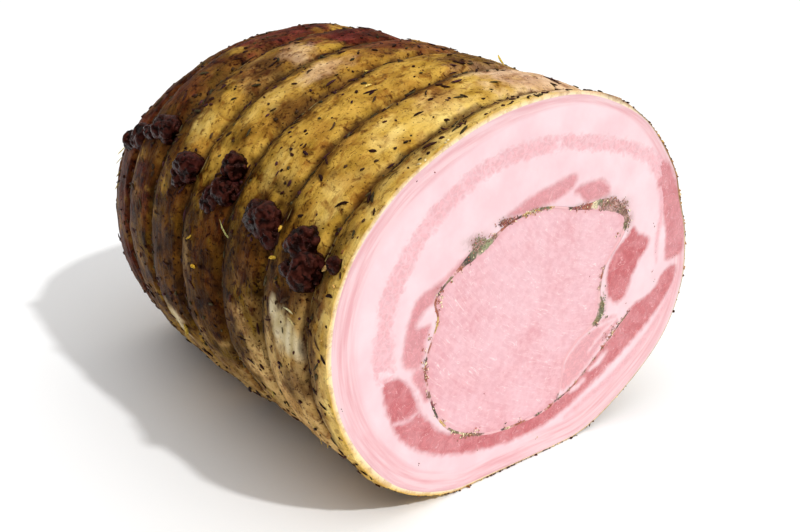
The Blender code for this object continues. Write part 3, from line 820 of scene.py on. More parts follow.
crumbs = crumbs_of(draw.uniform(0.13, 0.32, len(bits)), (1.6, 0.9, 0.16), 0.25)
spin = draw.uniform(0, math.tau, len(bits))
axes = np.zeros((len(bits), 3, 3))  # each bit lies flat on the cut, turned by its spin
axes[:, 0, ::2] = circle(spin)
axes[:, 1, ::2] = circle(spin + math.pi / 2)
axes[:, 2, 1] = -1
places = in_space(flat, knife_wave(flat) - draw.uniform(0, 0.3, len(bits)) * MM)
seam_bits = strewn("herb_seam_bits", crumbs, CRUMB_FACES, places, axes, herb_finish, {"herb": shade})
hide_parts("herb_seam")

# ---- The rind ----------------------------------------------------------------------------------------------
# The pig's skin, roasted soft and golden and rubbed with dried herbs. Seven turns of string, taken off since,
# left tight grooves with puffed ridges between them, and each stretch between grooves is a piece here.
RIND_TURNS = 560
RIND_ROWS = 38
RIND_RADIUS = 78 * MM  # mean distance from the axis to the skin
MM_TO_A_DEGREE = 1.35  # how far one degree round the axis goes along the skin
GROOVE_LINING = 3 * MM  # how deep a stretch of rind reaches at its two ends
STRING_LAG = 0.8  # how many mm behind its place a groove is deepest
STREAK_LENGTH = 5 * MM  # how long the skin's fine streaks are round the roll; they are 1 mm apart
# The darkest and the palest streaks in each kind of skin. Olive and mauve, the tones of the left side that
# faces away from the key light, are darker than the skin's own colour: partly painted shade.
SKIN_TONES = {
    "gold": ("a9812c", "daac4c"), "honey": ("dcb048", "fbdc84"), "olive": ("402b03", "86661a"),
    "tan": ("b98f4e", "efca86"), "cream": ("dcb08e", "fbdcba"), "purple": ("42130f", "7c3128"),
    "char": ("2c1507", "60340f"), "stain": ("341707", "6a3b14"), "fat": ("c6b07a", "f2e4c0"),
    "rub": ("432e10", "8a622b"), "mauve": ("280f05", "4e2b12"),
}
# Marks on the skin, each over those before it: kind, mm from the cut, degrees round from the right side, size
# in mm along the roll and round it, and strength.
RIND_MARKS = (
    ("honey", 6, 100, 15, 56, 0.9), ("honey", 26, 121, 8, 10, 0.7), ("honey", 31, 92, 10, 9, 0.5),
    # Partly painted shade: the olive mark round 180 degrees and the stains near 180 degrees darken the side
    # that faces away from the key light.
    ("cream", 8, 62, 26, 40, 0.8), ("cream", 36, 76, 14, 20, 0.7), ("olive", 75, 180, 95, 50, 1.0),
    ("stain", 95, 178, 60, 26, 0.5), ("honey", 54, 144, 7, 9, 0.5), ("honey", 20, 118, 7, 10, 0.7),
    ("stain", 100, 124, 12, 12, 0.3), ("stain", 77, 128, 8, 8, 0.85), ("stain", 78, 114, 6, 8, 0.55),
    ("tan", 28, 106, 8, 8, 0.5), ("tan", 14, -158, 46, 54, 0.9), ("tan", 90, -140, 60, 34, 0.6),
    # Painted light: the bright honey band along the cut's edge low on the left, round -158 and -146 degrees,
    # stands for light thrown up from the bench.
    ("honey", 1, -158, 4.5, 76, 0.9), ("honey", 5, -146, 9, 26, 0.8), ("stain", 1, 30, 7, 46, 0.8),
    # Partly painted contact shade: the char along the bottom of the cut's edge, round -80 degrees, where the
    # roll meets the bench.
    ("stain", 1, -22, 5, 24, 0.6), ("char", 1, -80, 4, 44, 0.9), ("tan", 116, 119, 12, 12, 0.6),
    ("char", 150, 134, 34, 34, 0.85), ("char", 126, 142, 13, 12, 0.8), ("char", 124, 133, 10, 9, 0.7),
    ("char", 190, 110, 40, 130, 0.7), ("char", 104, 126, 14, 12, 0.15), ("char", 112, 116, 10, 12, 0.4),
    ("stain", 126, 112, 20, 20, 0.5), ("purple", 142, 96, 13, 24, 0.85), ("purple", 124, 90, 17, 19, 0.9),
    ("purple", 114, 80, 17, 22, 0.95), ("purple", 92, 86, 14, 17, 0.85), ("purple", 78, 76, 13, 18, 0.75),
    ("stain", 54, 77, 11, 18, 0.7), ("purple", 160, 84, 22, 40, 0.7), ("cream", 88, 110, 7, 12, 0.5),
    ("cream", 113, 106, 9, 8, 0.4), ("honey", 114, 142, 6, 7, 0.6), ("honey", 90, 127, 7, 12, 0.4),
    ("stain", 25, 160, 11, 14, 0.8), ("stain", 51, 158, 12, 16, 0.8), ("stain", 82, 156, 11, 17, 0.9),
    ("stain", 109, 156, 9, 12, 0.8), ("stain", 141, 152, 12, 16, 0.85), ("stain", 170, 156, 18, 26, 0.85),
    ("honey", 23, 143, 6, 8, 0.6), ("stain", 143, 169, 4, 6, 0.9), ("stain", 160, -178, 30, 40, 0.6),
    ("stain", 112, 177, 20, 16, 0.5), ("olive", 138, 172, 8, 9, 0.9), ("tan", 98, 173, 5, 12, 0.4),
    ("stain", 77, 178, 8, 9, 0.5), ("purple", 147, 160, 6, 8, 0.5), ("purple", 139, 167, 3, 7, 0.6),
    ("char", 172, -150, 26, 60, 0.6), ("purple", 182, 165, 24, 60, 0.5), ("purple", 152, 132, 12, 14, 0.4),
    ("char", 29, 168, 9, 9, 0.85), ("fat", 30.5, 169.5, 3, 5, 0.85), ("fat", 24.5, 172.5, 6, 7, 0.9),
    ("fat", 18.5, 174.5, 4, 5, 0.9), ("char", 20, -176, 7, 7, 0.7), ("fat", 120, -166.5, 8, 8, 0.95),
    ("stain", 128, -170, 7, 9, 0.7), ("char", 90, -140, 30, 10, 0.4), ("stain", 70, 20, 30, 34, 0.5),
    ("char", 120, -30, 24, 40, 0.5), ("purple", 60, -60, 20, 30, 0.4), ("tan", 30, -70, 40, 90, 0.8),
)
# How blotchy each kind of skin is; 1 if it isn't here.
BROWNED = {"gold": 0.7, "honey": 0.4, "cream": 0.45, "tan": 0.7, "fat": 0.3, "olive": 1.1}


def skin_noise(turn, path, round_size, along_size, seed):
    """Random heights from -1 to 1, drawn out by different lengths (m) round the roll and along it."""
    on_circle = circle(turn) * (RIND_RADIUS / round_size)
    return lumps(np.concatenate([on_circle, (path / along_size)[..., None]], -1), 1, seed)


def string_gap(path):
    """How far behind the nearest string groove each place is, in mm; negative before it."""
    nearest = np.clip(np.round((path - FIRST_STRING) / STRING_PITCH), 0, STRING_TURNS - 1)
    return (path - FIRST_STRING - nearest * STRING_PITCH) / MM - STRING_LAG


def rind_skin(turn, path):
    """Points on the rind's outside, with its lumps, wrinkles and cuts from the string, and their outward
    directions."""
    turn, path = np.broadcast_arrays(np.asarray(turn, float), np.asarray(path, float))
    wander = (1.2 + 0.7 * skin_noise(turn, path, 45 * MM, 60 * MM, 31)) * MM * np.clip(path / (12 * MM), 0, 1)
    points, out = roll_skin(turn, path)
    gap = string_gap(path)
    near = hill(gap, 4)
    # The skin slopes down gently to each string on the side of the cut, and climbs steeply behind it.
    slope = hill(gap, np.where(gap < 0, 5.5, 1.5)) * (1 + 0.3 * skin_noise(turn, path, 14 * MM, 50 * MM, 37))
    cut_in = hill(gap, 1.1) * (1 + 0.5 * skin_noise(turn, path, 7 * MM, 50 * MM, 38))
    puff = 1.1 * skin_noise(turn, path, 24 * MM, 26 * MM, 32) * (1 - near)
    relief = (
        0.5 + puff + 0.45 * lumps(points, 7 * MM, 33) + 0.22 * lumps(points, 2.6 * MM, 34)
        + 0.3 * skin_noise(turn, path, 18 * MM, 1.7 * MM, 35) * (0.35 + near)
        + 0.5 * skin_noise(turn, path, 2.6 * MM, 8 * MM, 36) * near - 1.5 * slope - 0.8 * cut_in
        + 2.4 * hill(path / MM - 7, 6) * hill(degrees_from(turn, -135), 28)
        - 2.0 * hill(path / MM - 60, 26) * hill(degrees_from(turn, -128), 16)
    )
    relief = np.maximum(relief, -0.6 * np.clip(path / MM - 1, 0, None))
    relief = relief * (1 - (1 - by_degrees(RIND_SHARES, turn)) * np.exp(-path / (4 * MM)))
    points = points + out * (relief * MM)[..., None]
    points[..., 1] += wander
    points[..., 2] = np.maximum(points[..., 2], 0)
    return points, out


def skin_tones(turn, path, points):
    """The skin's colour at its points, with each mark's frayed edges and streaks, and how much of the band
    beside the strings lies there: the rub, darkened as painted shade on the slope before each string."""
    streak = 0.5 + 0.5 * skin_noise(turn, path, 6 * MM, 2 * MM, 44) + 0.35 * lumps(points, 4 * MM, 46)
    streak = np.clip(streak, 0, 1)[..., None]
    fray = 0.35 * lumps(points, 6 * MM, 41) + 0.2 * lumps(points, 2.2 * MM, 42)
    pairs = {kind: [np.array(linear(tone)) for tone in pair] for kind, pair in SKIN_TONES.items()}
    tone = pairs["gold"][0] + (pairs["gold"][1] - pairs["gold"][0]) * streak
    browned = np.full(turn.shape, BROWNED["gold"])
    gap = string_gap(path)
    rubbed = np.where(gap < 0, (gap + 10 + 8 * fray) / 4.5, (1.3 - gap + 1.5 * fray) / 0.8)
    rubbed = np.clip(rubbed, 0, 1)
    left = hill(degrees_from(turn, -175), 38)

    def lay(kind, amount):
        nonlocal tone, browned
        dark, pale = pairs[kind]
        tone = tone + (dark + (pale - dark) * streak - tone) * amount[..., None]
        browned = browned + (BROWNED.get(kind, 1) - browned) * amount

    for kind, depth, degrees, along, across, strength in RIND_MARKS:
        away = degrees_from(turn, degrees) * MM_TO_A_DEGREE
        size = np.hypot((path / MM - depth) / along, away / across)
        lay(kind, strength * np.clip((1.2 - size + fray) / 0.55, 0, 1))
    rubbed = rubbed * np.clip(6 * browned - 0.5, 0, 1)
    # The band beside each groove is partly painted shade: its tone is darker than the rub, as that slope
    # faces away from the key light, and darker still on the left side, which is in shade.
    lay("rub", 0.85 * rubbed * (1 - left))
    lay("mauve", 0.6 * rubbed * left)
    tone[..., 3] = browned
    return tone, rubbed


# Soft roast skin: golden ochre and greasy, with brown blotches, darker and greyer beside the grooves where
# the rub and the juices gathered, and with painted shade on the slope before each groove. Fine wrinkles about
# 1 mm apart run round the roll.
RIND_LOOK = {"Roughness": 0.42, "IOR": 1.4, "Specular IOR Level": 0.04}
rind_finish, tree, shader = finish("roast rind rubbed with herbs", RIND_LOOK)
place = add("TexCoord", output="Object")
skin = add("Attribute", output="Color", attribute_name="tone")
browned = add("Attribute", output="Alpha", attribute_name="tone")
gap = add("Attribute", output="Fac", attribute_name="gap")
rubbed = add("Attribute", output="Fac", attribute_name="rubbed")
strands = add("Attribute", output="Vector", attribute_name="strands")
strand = add("TexNoise", {"Vector": strands, "Scale": 1, "Detail": 4, "Roughness": 0.6})
strand = add("MapRange", {"Value": strand, "From Min": 0.38, "From Max": 0.62})
# Brown blotches at four sizes: each row gives the size in mm, where the noise starts to show, how strongly,
# and the colour that the skin is multiplied by there.
for size, start, strength, shade in (
    (17, 0.46, 0.6, "b98f5c"), (7, 0.52, 0.9, "a06c34"), (3, 0.55, 1.1, "7c4e2c"), (1.3, 0.57, 1.3, "5a3822"),
):
    blotch = add(
        "TexNoise",
        {"Vector": place, "Scale": 1 / (size * MM), "Detail": 4, "Roughness": 0.6, "Distortion": 0.6},
    )
    blotch = add(
        "MapRange", {"Value": blotch, "From Min": start, "From Max": start + 0.12, "To Max": strength}
    )
    blotch = add("Math", {0: blotch, 1: browned}, operation="MULTIPLY")
    skin = add(
        "Mix", {"Factor": blotch, "A": skin, "B": linear(shade)}, data_type="RGBA", blend_type="MULTIPLY"
    )
# Painted highlights: pale flecks, fewest on the blotchy, browned skin, that stand for small glints of light.
small = add(
    "TexNoise",
    {"Vector": place, "Scale": 1 / (3.4 * MM), "Detail": 5, "Roughness": 0.7, "W": 3},
    noise_dimensions="4D",
)
light = add("MapRange", {"Value": small, "From Min": 0.54, "From Max": 0.68, "To Max": 0.7})
clean = add("MapRange", {"Value": browned, "From Min": 1.1, "From Max": 0.3})
light = add("Math", {0: light, 1: clean}, operation="MULTIPLY")
painted_glint = add("Mix", {"Factor": 0.5, "A": skin, "B": linear("f4cf6c")}, data_type="RGBA")
skin = add("Mix", {"Factor": light, "A": skin, "B": painted_glint}, data_type="RGBA")
# The string's own fibres left dark and light streaks in the band beside each groove. The dark line at a
# groove's bottom is partly the string's mark and partly painted shade in the crease.
streaky = add("MapRange", {"Value": strand, "To Min": 0.6, "To Max": 1.15})
streaky = add("Mix", {"Factor": 1, "A": skin, "B": streaky}, data_type="RGBA", blend_type="MULTIPLY")
skin = add("Mix", {"Factor": rubbed, "A": skin, "B": streaky}, data_type="RGBA")
# Painted shade in the crease: a dark line along the bottom of each groove.
waver = add("MapRange", {"Value": small, "To Min": -1, "To Max": 1})
line = add("Math", {0: gap, 1: waver}, operation="ADD")
line = add("Math", {0: line}, operation="ABSOLUTE")
line = add("MapRange", {"Value": line, "From Min": 1, "From Max": 0.2, "To Max": 0.5})
skin = add("Mix", {"Factor": line, "A": skin, "B": linear("47290f")}, data_type="RGBA")
# The skin's own cut edge: clear gold, but roasted brown high on the right, with darker crumbs along it.
edge = add("Attribute", output="Fac", attribute_name="edge")
right = add("SeparateXYZ", {"Vector": place}, output="X")
right = add("MapRange", {"Value": right, "From Min": 0.055, "From Max": 0.08, "To Max": 0.85})
high = add("SeparateXYZ", {"Vector": place}, output="Z")
high = add("MapRange", {"Value": high, "From Min": 0.075, "From Max": 0.1})
right = add("Math", {0: right, 1: high}, operation="MULTIPLY")
rim = add("Mix", {"Factor": right, "A": linear("fde9c4"), "B": linear("b07850")}, data_type="RGBA")
crumbed = add("MapRange", {"Value": small, "From Min": 0.5, "From Max": 0.44, "To Max": 0.35})
rim = add("Mix", {"Factor": crumbed, "A": rim, "B": linear("a8783c")}, data_type="RGBA")
skin = add("Mix", {"Factor": edge, "A": skin, "B": rim}, data_type="RGBA")
tree.links.new(skin, shader.inputs["Base Color"])
pores = add("TexNoise", {"Vector": place, "Scale": 1 / (0.9 * MM), "Detail": 3})
height = add("Math", {0: strand, 1: pores}, operation="ADD")
bump = add("Bump", {"Height": height, "Strength": 0.6, "Distance": 0.35 * MM})
tree.links.new(bump, shader.inputs["Normal"])

turn = all_round(RIND_TURNS)
strings = [FIRST_STRING + STRING_PITCH * k for k in range(STRING_TURNS)]
end_path = SKIN_LENGTH + MM * (3 + 2.5 * skin_noise(turn, 0 * turn, 30 * MM, 1, 45))
for number, (start, end) in enumerate(zip([0, *strings], [*strings, end_path]), 1):
    rows = RIND_ROWS if number > 1 else RIND_ROWS // 2
    even = np.linspace(0, 1, rows + 1)
    share = ((even + (1 - np.cos(math.pi * even)) / 2) / 2)[:, None]  # closer together at the grooves
    path = start + (end - start) * share * np.ones(RIND_TURNS)
    outer, out = rind_skin(turn, path)
    lining_path = path[[-1, rows // 2, 0]]
    sunk = np.array([GROOVE_LINING, RIND_THICKNESS, GROOVE_LINING])[:, None] * np.ones(RIND_TURNS)
    if number == 1:
        sunk[2] = RIND_THICKNESS * by_degrees(RIND_SHARES, turn)
    lining = roll_skin(turn, lining_path, -sunk)[0]
    lining[[0, 2], :, 1] += outer[[-1, 0], :, 1] - roll_skin(turn, path[[-1, 0]])[0][..., 1]
    if number == 1:
        for ring in (outer[0], lining[2]):
            ring[:, 1] = CUT_Y + knife_wave(ring[:, ::2])
    rings = np.concatenate([outer, lining])
    paths = np.concatenate([path, lining_path])
    every_turn = np.broadcast_to(turn, paths.shape)
    strands = circle(every_turn) * (RIND_RADIUS / STREAK_LENGTH)
    tone, rubbed = skin_tones(every_turn, paths, rings)
    values = {
        "tone": tone, "rubbed": rubbed, "gap": string_gap(paths),
        "strands": np.concatenate([strands, paths[..., None] / MM], -1),
        "edge": np.concatenate([path * 0, np.full(lining_path.shape, float(number == 1))]),
    }
    bay = ringed(f"rind_bay_{number}", rings, True, rind_finish, values, 70)
    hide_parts("belly")

# ---- Dried juice beads -------------------------------------------------------------------------------------
# Seven beads of meat juice that seeped out in a row between the strings and dried in the oven. They are hard,
# dark red-brown and lumpy like crushed berries, with a broken shine.
# Each lobe of each bead: bead, mm from the cut, degrees round, length along the roll, width and height in mm,
# and how deep a waist parts it.
LOBES = (
    (1, 5, 154.6, 6.5, 6, 3.8, 0), (2, 23.5, 153.4, 13, 14, 7.5, 0), (2, 18, 158.4, 13, 15, 8, 0.1),
    (2, 27, 160, 9, 6, 3, 0), (3, 52, 154.4, 18, 17, 6.5, 0.1), (3, 46, 156.6, 9, 10, 4.5, 0),
    (4, 80.5, 147.4, 10, 12, 8, 0), (4, 80, 153, 11, 12, 6.5, 0), (4, 87, 156, 10, 12, 3.4, 0),
    (5, 108.5, 151.6, 14, 13, 7.5, 0), (5, 112.5, 155, 8, 8, 4.5, 0), (6, 141, 146, 16, 14, 6.5, 0.1),
    (6, 151, 148.5, 14, 7, 4.5, 0), (7, 165, 150.5, 15, 14, 7, 0.1), (7, 174, 152, 10, 11, 6.5, 0),
)
BEAD_GRID = (46, 78)
BEAD_FILL = 0.88  # a lobe's body without its drupelets, as a share of its size
DRUPE_HEIGHT = 0.65 * MM
BEAD_ROOT = 2.6 * MM  # how deep a lobe reaches into the skin

# Dried juice: hard, dark garnet to nearly black, with a broken gloss from its own fine wrinkles.
BEAD_LOOK = {"IOR": 1.45, "Specular IOR Level": 0.22, "Specular Tint": linear("b07468")}
bead_finish, tree, shader = finish("dried meat juice", BEAD_LOOK)
place = add("TexCoord", output="Object")
crust = add("TexNoise", {"Vector": place, "Scale": 1 / (2.2 * MM), "Detail": 4})
crust = add("MapRange", {"Value": crust, "From Min": 0.4, "From Max": 0.66})
garnet = add("Mix", {"Factor": crust, "A": linear("1a0503"), "B": linear("452018")}, data_type="RGBA")
patch = add("TexNoise", {"Vector": place, "Scale": 1 / (6 * MM), "Detail": 2})
patch = add("MapRange", {"Value": patch, "From Min": 0.55, "From Max": 0.7, "To Max": 0.4})
garnet = add("Mix", {"Factor": patch, "A": garnet, "B": linear("42191a")}, data_type="RGBA")
# Painted shade: the juice is drawn nearly black down between the drupelets, where shade falls.
drupe = add("Attribute", output="Fac", attribute_name="drupe")
deep = add("MapRange", {"Value": drupe, "From Min": 0.15, "From Max": 0.75})
garnet = add("Mix", {"Factor": deep, "A": linear("0c0201"), "B": garnet}, data_type="RGBA")
tree.links.new(garnet, shader.inputs["Base Color"])
dull = add("MapRange", {"Value": patch, "From Max": 0.4, "To Min": 0.2, "To Max": 0.32})
tree.links.new(dull, shader.inputs["Roughness"])
wrinkle = add("TexNoise", {"Vector": place, "Scale": 1 / (0.9 * MM), "Detail": 4, "Roughness": 0.65})
bump = add("Bump", {"Height": wrinkle, "Strength": 1, "Distance": 0.25 * MM})
tree.links.new(bump, shader.inputs["Normal"])


def frames_on(out, angle):
    """For each outward direction: the direction along the skin at an angle to the roll's length, the one
    across it, and the outward one."""
    length = np.array((0.0, 1.0, 0.0))
    round_it = np.cross(out, length)
    round_it /= np.linalg.norm(round_it, axis=1, keepdims=True)
    lengthwise = np.cross(round_it, out)
    along = lengthwise * np.cos(angle)[:, None] + round_it * np.sin(angle)[:, None]
    return np.stack([along, np.cross(out, along), out], 1)


draw = np.random.default_rng(532)
tilt = np.linspace(0.04, math.pi - 0.04, BEAD_GRID[0])[:, None, None]
swing = np.linspace(0, math.tau, BEAD_GRID[1], endpoint=False)
ball = np.concatenate([np.sin(tilt) * circle(swing), np.cos(tilt) * np.ones((BEAD_GRID[1], 1))], -1)
for number, (bead, depth, degrees, length, width, height, waist) in enumerate(LOBES, 1):
    point, out = roll_skin(math.radians(degrees), depth * MM)
    axes = frames_on(out[None], np.zeros(1))[0]
    half = np.array((length / 2, width / 2, height)) * MM
    berries = int(0.75 * length * width)  # how many drupelets cover it, each 0.9 to 1.9 mm in radius
    seats = draw.normal(0, 1, (berries, 3))
    seats /= np.linalg.norm(seats, axis=1, keepdims=True)
    away = np.linalg.norm((ball[:, :, None] - seats) * half / MM, axis=-1)
    drupes = np.sqrt(np.clip(1 - (away / draw.uniform(0.9, 1.9, berries)) ** 2, 0, 1)).max(-1)
    long_axis = ball[..., 0] if length > width else ball[..., 1]
    size = BEAD_FILL * (1 - waist * hill(long_axis, 0.3))
    size = size * (1 + 0.2 * lumps(ball, 0.75, number) + 0.06 * lumps(ball, 0.25, number + 20))
    shape = ball * half * size[..., None] + ball * (DRUPE_HEIGHT * drupes)[..., None]
    shape[..., 2] = np.maximum(shape[..., 2], -BEAD_ROOT)
    shape = point + shape @ axes
    lobe = ringed(f"juice_bead_{bead}_lobe_{number}", shape, False, bead_finish, {"drupe": drupes})
    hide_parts(f"juice_bead_{bead}")

# ---- Herbs on the rind -------------------------------------------------------------------------------------
# Dried rosemary needles and crumbled herbs from the rub, roasted almost black. They lie all ways on the
# ridges but gather beside the grooves, where the string pressed them into line.
NEEDLES = 1900
STRANDS = 520
SPECKS = 5000
RIM_NEEDLES = 70  # how many more needles cling to the skin's edge at the cut
WINE_CRUMBS = 120  # how many of the edge's crumbs at the bottom are dark wine: dried juice, and partly painted contact shade where the roll meets the bench
SLIVER_STATIONS = 5
SLIVER_CORNERS = 5
# Pale bits that stand off the skin: mm from the cut, degrees round, length and half-width in mm, angle to the
# roll's length and rise in degrees, and colour.
PALE_BITS = (
    (70, 161, 12.5, 0.4, -26, 6, "a9a668"), (21, 167.4, 5.5, 0.35, -8, 4, "d9cf9a"),
    (19, 169.4, 4, 0.3, -30, 8, "c9b878"), (41.3, 154.4, 4.2, 1.0, 70, 12, "e8b648"),
    (37, 160, 3.4, 0.7, 20, 16, "cfa63a"), (50.4, 69, 4.2, 0.8, 10, 55, "d8b848"),
    (112, -165, 6, 1.3, 80, 16, "b8983c"), (50, -162, 4, 0.35, 75, 15, "b8a04a"),
    (46, -159, 3.5, 0.4, 110, 12, "3a3420"), (40, -154, 4, 0.3, 70, 18, "c9a850"),
    (37, -152, 3.5, 0.35, 100, 16, "a88a3c"), (31, -151, 4, 0.3, 80, 18, "d0b060"),
    (28, -150, 3, 0.35, 60, 15, "c0a052"), (84, -150, 5, 0.9, 60, 14, "2c1c1e"),
    (80, -149, 4, 0.7, 110, 12, "35242a"), (200, 155, 5, 0.45, 95, 24, "d6bc3c"),
    (199, 158, 4.5, 0.35, 110, 26, "e0cc6a"), (198, 162, 4, 0.5, 75, 22, "b99c34"),
    (198, 166, 4, 0.4, 95, 22, "d2b64a"), (88, 172, 3, 0.8, 0, 8, "c79a2c"),
    (92, 166, 3.6, 0.5, 40, 8, "b08a2c"), (10, 156, 3, 0.9, 80, 14, "c8a060"),
    (72, 104, 3, 0.7, 40, 14, "e0bc58"), (57, 112, 3.6, 0.7, 100, 12, "e8ca70"),
)


def by_strings(count, middle, spread):
    """Random distances from the cut, beside the strings; middle and spread are mm from the string."""
    strings = FIRST_STRING + STRING_PITCH * draw.integers(0, STRING_TURNS, count)
    return strings + draw.normal(middle, spread, count) * MM


def skin_places(count, groove_share):
    """Random places on the rind, some of them beside the strings: turn, path, and which of them those are."""
    turn = draw.uniform(-math.pi, math.pi, count)
    path = draw.uniform(1 * MM, SKIN_LENGTH, count)
    pressed = draw.uniform(0, 1, count) < groove_share
    return turn, np.where(pressed, by_strings(count, -1.6, 2.2), path), pressed


def picked(tones, count):
    """One of the tones, sRGB hex colours, drawn for each of count bits."""
    return np.array([linear(tone) for tone in tones])[draw.integers(0, len(tones), count)]


def slivers(name, turn, path, angle, length, width, rise, shade):
    """Bent, pointed slivers lying on the rind, in one mesh: their places, angles, sizes (m), rises (radians)
    and colours."""
    places, out = rind_skin(turn, path)
    count = len(turn)
    run = np.linspace(-0.5, 0.5, SLIVER_STATIONS)
    taper = np.sqrt(np.clip(1 - (2 * run) ** 4, 0.06, 1))
    corner = np.linspace(0, math.tau, SLIVER_CORNERS, endpoint=False)
    bow = draw.normal(0, 0.09, count)[:, None] * length[:, None]
    height = np.sin(rise)[:, None] * length[:, None] * (run + 0.45 * (rise > 0.08)[:, None])
    spine = np.stack([run * length[:, None], bow * (4 * run**2 - 0.5), height + 0.25 * MM + 0 * bow], -1)
    section = np.stack([0 * corner, np.cos(corner), 0.55 * np.sin(corner)], -1)
    patterns = spine[:, :, None] + width[:, None, None, None] * taper[:, None, None] * section
    here = np.arange(SLIVER_CORNERS)
    beside = (here + 1) % SLIVER_CORNERS
    quads = np.concatenate([
        np.stack([here, beside, beside + SLIVER_CORNERS, here + SLIVER_CORNERS], -1) + k * SLIVER_CORNERS
        for k in range(SLIVER_STATIONS - 1)
    ])
    top = (SLIVER_STATIONS - 1) * SLIVER_CORNERS
    ends = [(0, 3, 2, 1), (0, 4, 3), (top, top + 1, top + 2, top + 3), (top, top + 3, top + 4)]
    faces = [tuple(map(int, face)) for face in [*quads, *ends]]
    patterns, axes = patterns.reshape(count, -1, 3), frames_on(out, angle)
    made = strewn(name, patterns, faces, places, axes, black_finish, {"herb": shade})


# Herbs roasted nearly black: dry and dull, each one lighter in some spots than in others.
BLACK_LOOK = {"Roughness": 0.6, "IOR": 1.4, "Specular IOR Level": 0.1}
black_finish, tree, shader = finish("roasted rosemary", BLACK_LOOK)
place = add("TexCoord", output="Object")
herb = add("Attribute", output="Color", attribute_name="herb")
grain = add("TexNoise", {"Vector": place, "Scale": 1 / (0.7 * MM), "Detail": 3})
pale = add("MapRange", {"Value": grain, "From Min": 0.4, "From Max": 0.75, "To Min": 0.6, "To Max": 1.6})
mixed = add("Mix", {"Factor": 1, "A": herb, "B": pale}, data_type="RGBA", blend_type="MULTIPLY")
tree.links.new(mixed, shader.inputs["Base Color"])

NEEDLE_TONES = ("2c130c", "381c14", "3e2a18", "3f3620", "3a1e22")
turn, path, pressed = skin_places(NEEDLES, 0.35)
path[:RIM_NEEDLES] = draw.uniform(0.6, 5, RIM_NEEDLES) * MM
angle = math.pi / 2 + draw.normal(0, 1, NEEDLES) * np.where(pressed, 0.35, 1.1)
length = (1.3 + 4.7 * draw.uniform(0, 1, NEEDLES) ** 1.4) * MM
width = draw.uniform(0.32, 0.75, NEEDLES) * MM
shade = picked(NEEDLE_TONES, NEEDLES) * draw.uniform(0.7, 1.7, (NEEDLES, 1))
slivers("rosemary_needles", turn, path, angle, length, width, draw.uniform(-0.06, 0.07, NEEDLES), shade)

path = by_strings(STRANDS, -1.8, 1.5)
angle = math.pi / 2 + draw.normal(0, 0.1, STRANDS)
shade = picked(("2c2114", "5d4c2c", "8a764a", "1f1711"), STRANDS)
length, width = draw.uniform(3.5, 9, STRANDS) * MM, draw.uniform(0.12, 0.26, STRANDS) * MM
turn = draw.uniform(-math.pi, math.pi, STRANDS)
slivers("herb_strands", turn, path, angle, length, width, 0 * turn, shade)

path, turn, length, width, angle, rise = np.array([bit[:6] for bit in PALE_BITS]).T
shade = np.array([linear(bit[6]) for bit in PALE_BITS])
angle, rise = np.radians(angle), np.radians(rise)
slivers("herb_pale_bits", np.radians(turn), path * MM, angle, length * MM, width * MM, rise, shade)

turn, path, _ = skin_places(SPECKS, 0.3)
places, out = rind_skin(turn, path)
axes = frames_on(out, draw.uniform(0, math.tau, SPECKS))
crumbs = crumbs_of(0.2 + 0.95 * draw.uniform(0, 1, SPECKS) ** 5, (1.4, 0.9, 0.5), 0.3)
shade = picked(NEEDLE_TONES, SPECKS) * draw.uniform(0.7, 1.8, (SPECKS, 1))
specks = strewn("herb_specks", crumbs, CRUMB_FACES, places, axes, black_finish, {"herb": shade})

# Crumbs of dried juice, rub and browned skin stick to the skin's edge at the cut, most of them at the bottom:
# degrees round, their spread, and how many.
RIM_HEAPS = ((-87, 17, 260), (25, 22, 130), (40, 4, 70))
degrees = [draw.normal(middle, spread, count) for middle, spread, count in RIM_HEAPS]
turn = np.radians(np.concatenate([*degrees, draw.uniform(0, 360, 60)]))
places, out = rind_skin(turn, np.abs(draw.normal(0, 1.5 * MM, len(turn))))
axes = frames_on(out, draw.uniform(0, math.tau, len(turn)))
crumbs = crumbs_of(draw.uniform(0.25, 0.7, len(turn)), (1.5, 1.0, 0.6), 0.3)
shade = picked(("f0d9a0", "d9ac5e", "8a5a30", "3c1f16", "5a3026", "c79a70"), len(turn))
# Partly painted contact shade: the first crumbs, at the bottom where the roll meets the bench, are dark wine.
shade[:WINE_CRUMBS] = linear("40161a")
rim_crumbs = strewn("rim_crumbs", crumbs, CRUMB_FACES, places, axes, black_finish, {"herb": shade})

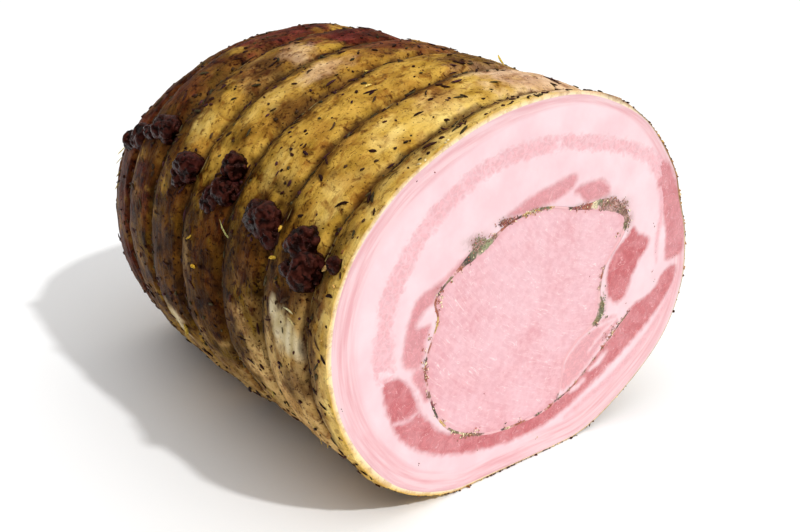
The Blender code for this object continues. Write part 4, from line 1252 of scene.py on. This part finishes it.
# ---- Bench, light and camera -------------------------------------------------------------------------------
# A white bench top, a hard key light from in front of the cut, and a wide soft one overhead.
BENCH_TOP = -0.4 * MM  # a hair below the roll, so that the two never share a plane
mesh = bpy.data.meshes.new("bench")
corners = [(x, y, BENCH_TOP) for x, y in ((-2, -2), (2, -2), (2, 2), (-2, 2))]
mesh.from_pydata(corners, [], [(0, 1, 2, 3)])
bench = bpy.data.objects.new("bench", mesh)
bpy.context.scene.collection.objects.link(bench)
# White paint: clean and matt, so that it shows a soft shadow and no reflection of the roll.
BENCH_LOOK = {"Base Color": linear("fcfcfc"), "Roughness": 0.6}
mesh.materials.append(finish("white painted bench", BENCH_LOOK)[0])

KEY_AZIMUTH, KEY_ELEVATION = math.radians(9), math.radians(47.5)
level = math.cos(KEY_ELEVATION)
key_side = (math.sin(KEY_AZIMUTH) * level, -math.cos(KEY_AZIMUTH) * level, math.sin(KEY_ELEVATION))
# Each light: where it comes from, how strong it is, and how wide it is in degrees.
LIGHTS = (("key", key_side, 1.75, 3), ("overhead_softbox", (0.1, -0.15, 1), 1.5, 90))
for name, side, strength, width in LIGHTS:
    light = bpy.data.lights.new(name, "SUN")
    light.energy = strength
    light.angle = math.radians(width)
    lamp = bpy.data.objects.new(name, light)
    lamp.rotation_euler = Vector(side).to_track_quat("Z", "Y").to_euler()
    bpy.context.scene.collection.objects.link(lamp)

world = bpy.data.worlds.new("surround")
world.use_nodes = True
sky = world.node_tree.nodes["Background"]
sky.inputs["Color"].default_value = (1.0, 0.99, 0.98, 1)
sky.inputs["Strength"].default_value = 0.33
bpy.context.scene.world = world
bpy.context.scene.view_settings.view_transform = "Standard"

lens = bpy.data.cameras.new("camera")
lens.sensor_width = 36
lens.lens = 51.75
lens.clip_start = 0.01
camera = bpy.data.objects.new("camera", lens)
camera.location = (-0.2924, -0.3891, 0.2513)
target = Vector((-0.0641, -0.109, 0.1022))
camera.rotation_euler = (target - camera.location).to_track_quat("-Z", "Y").to_euler()
bpy.context.scene.collection.objects.link(camera)
bpy.context.scene.camera = camera
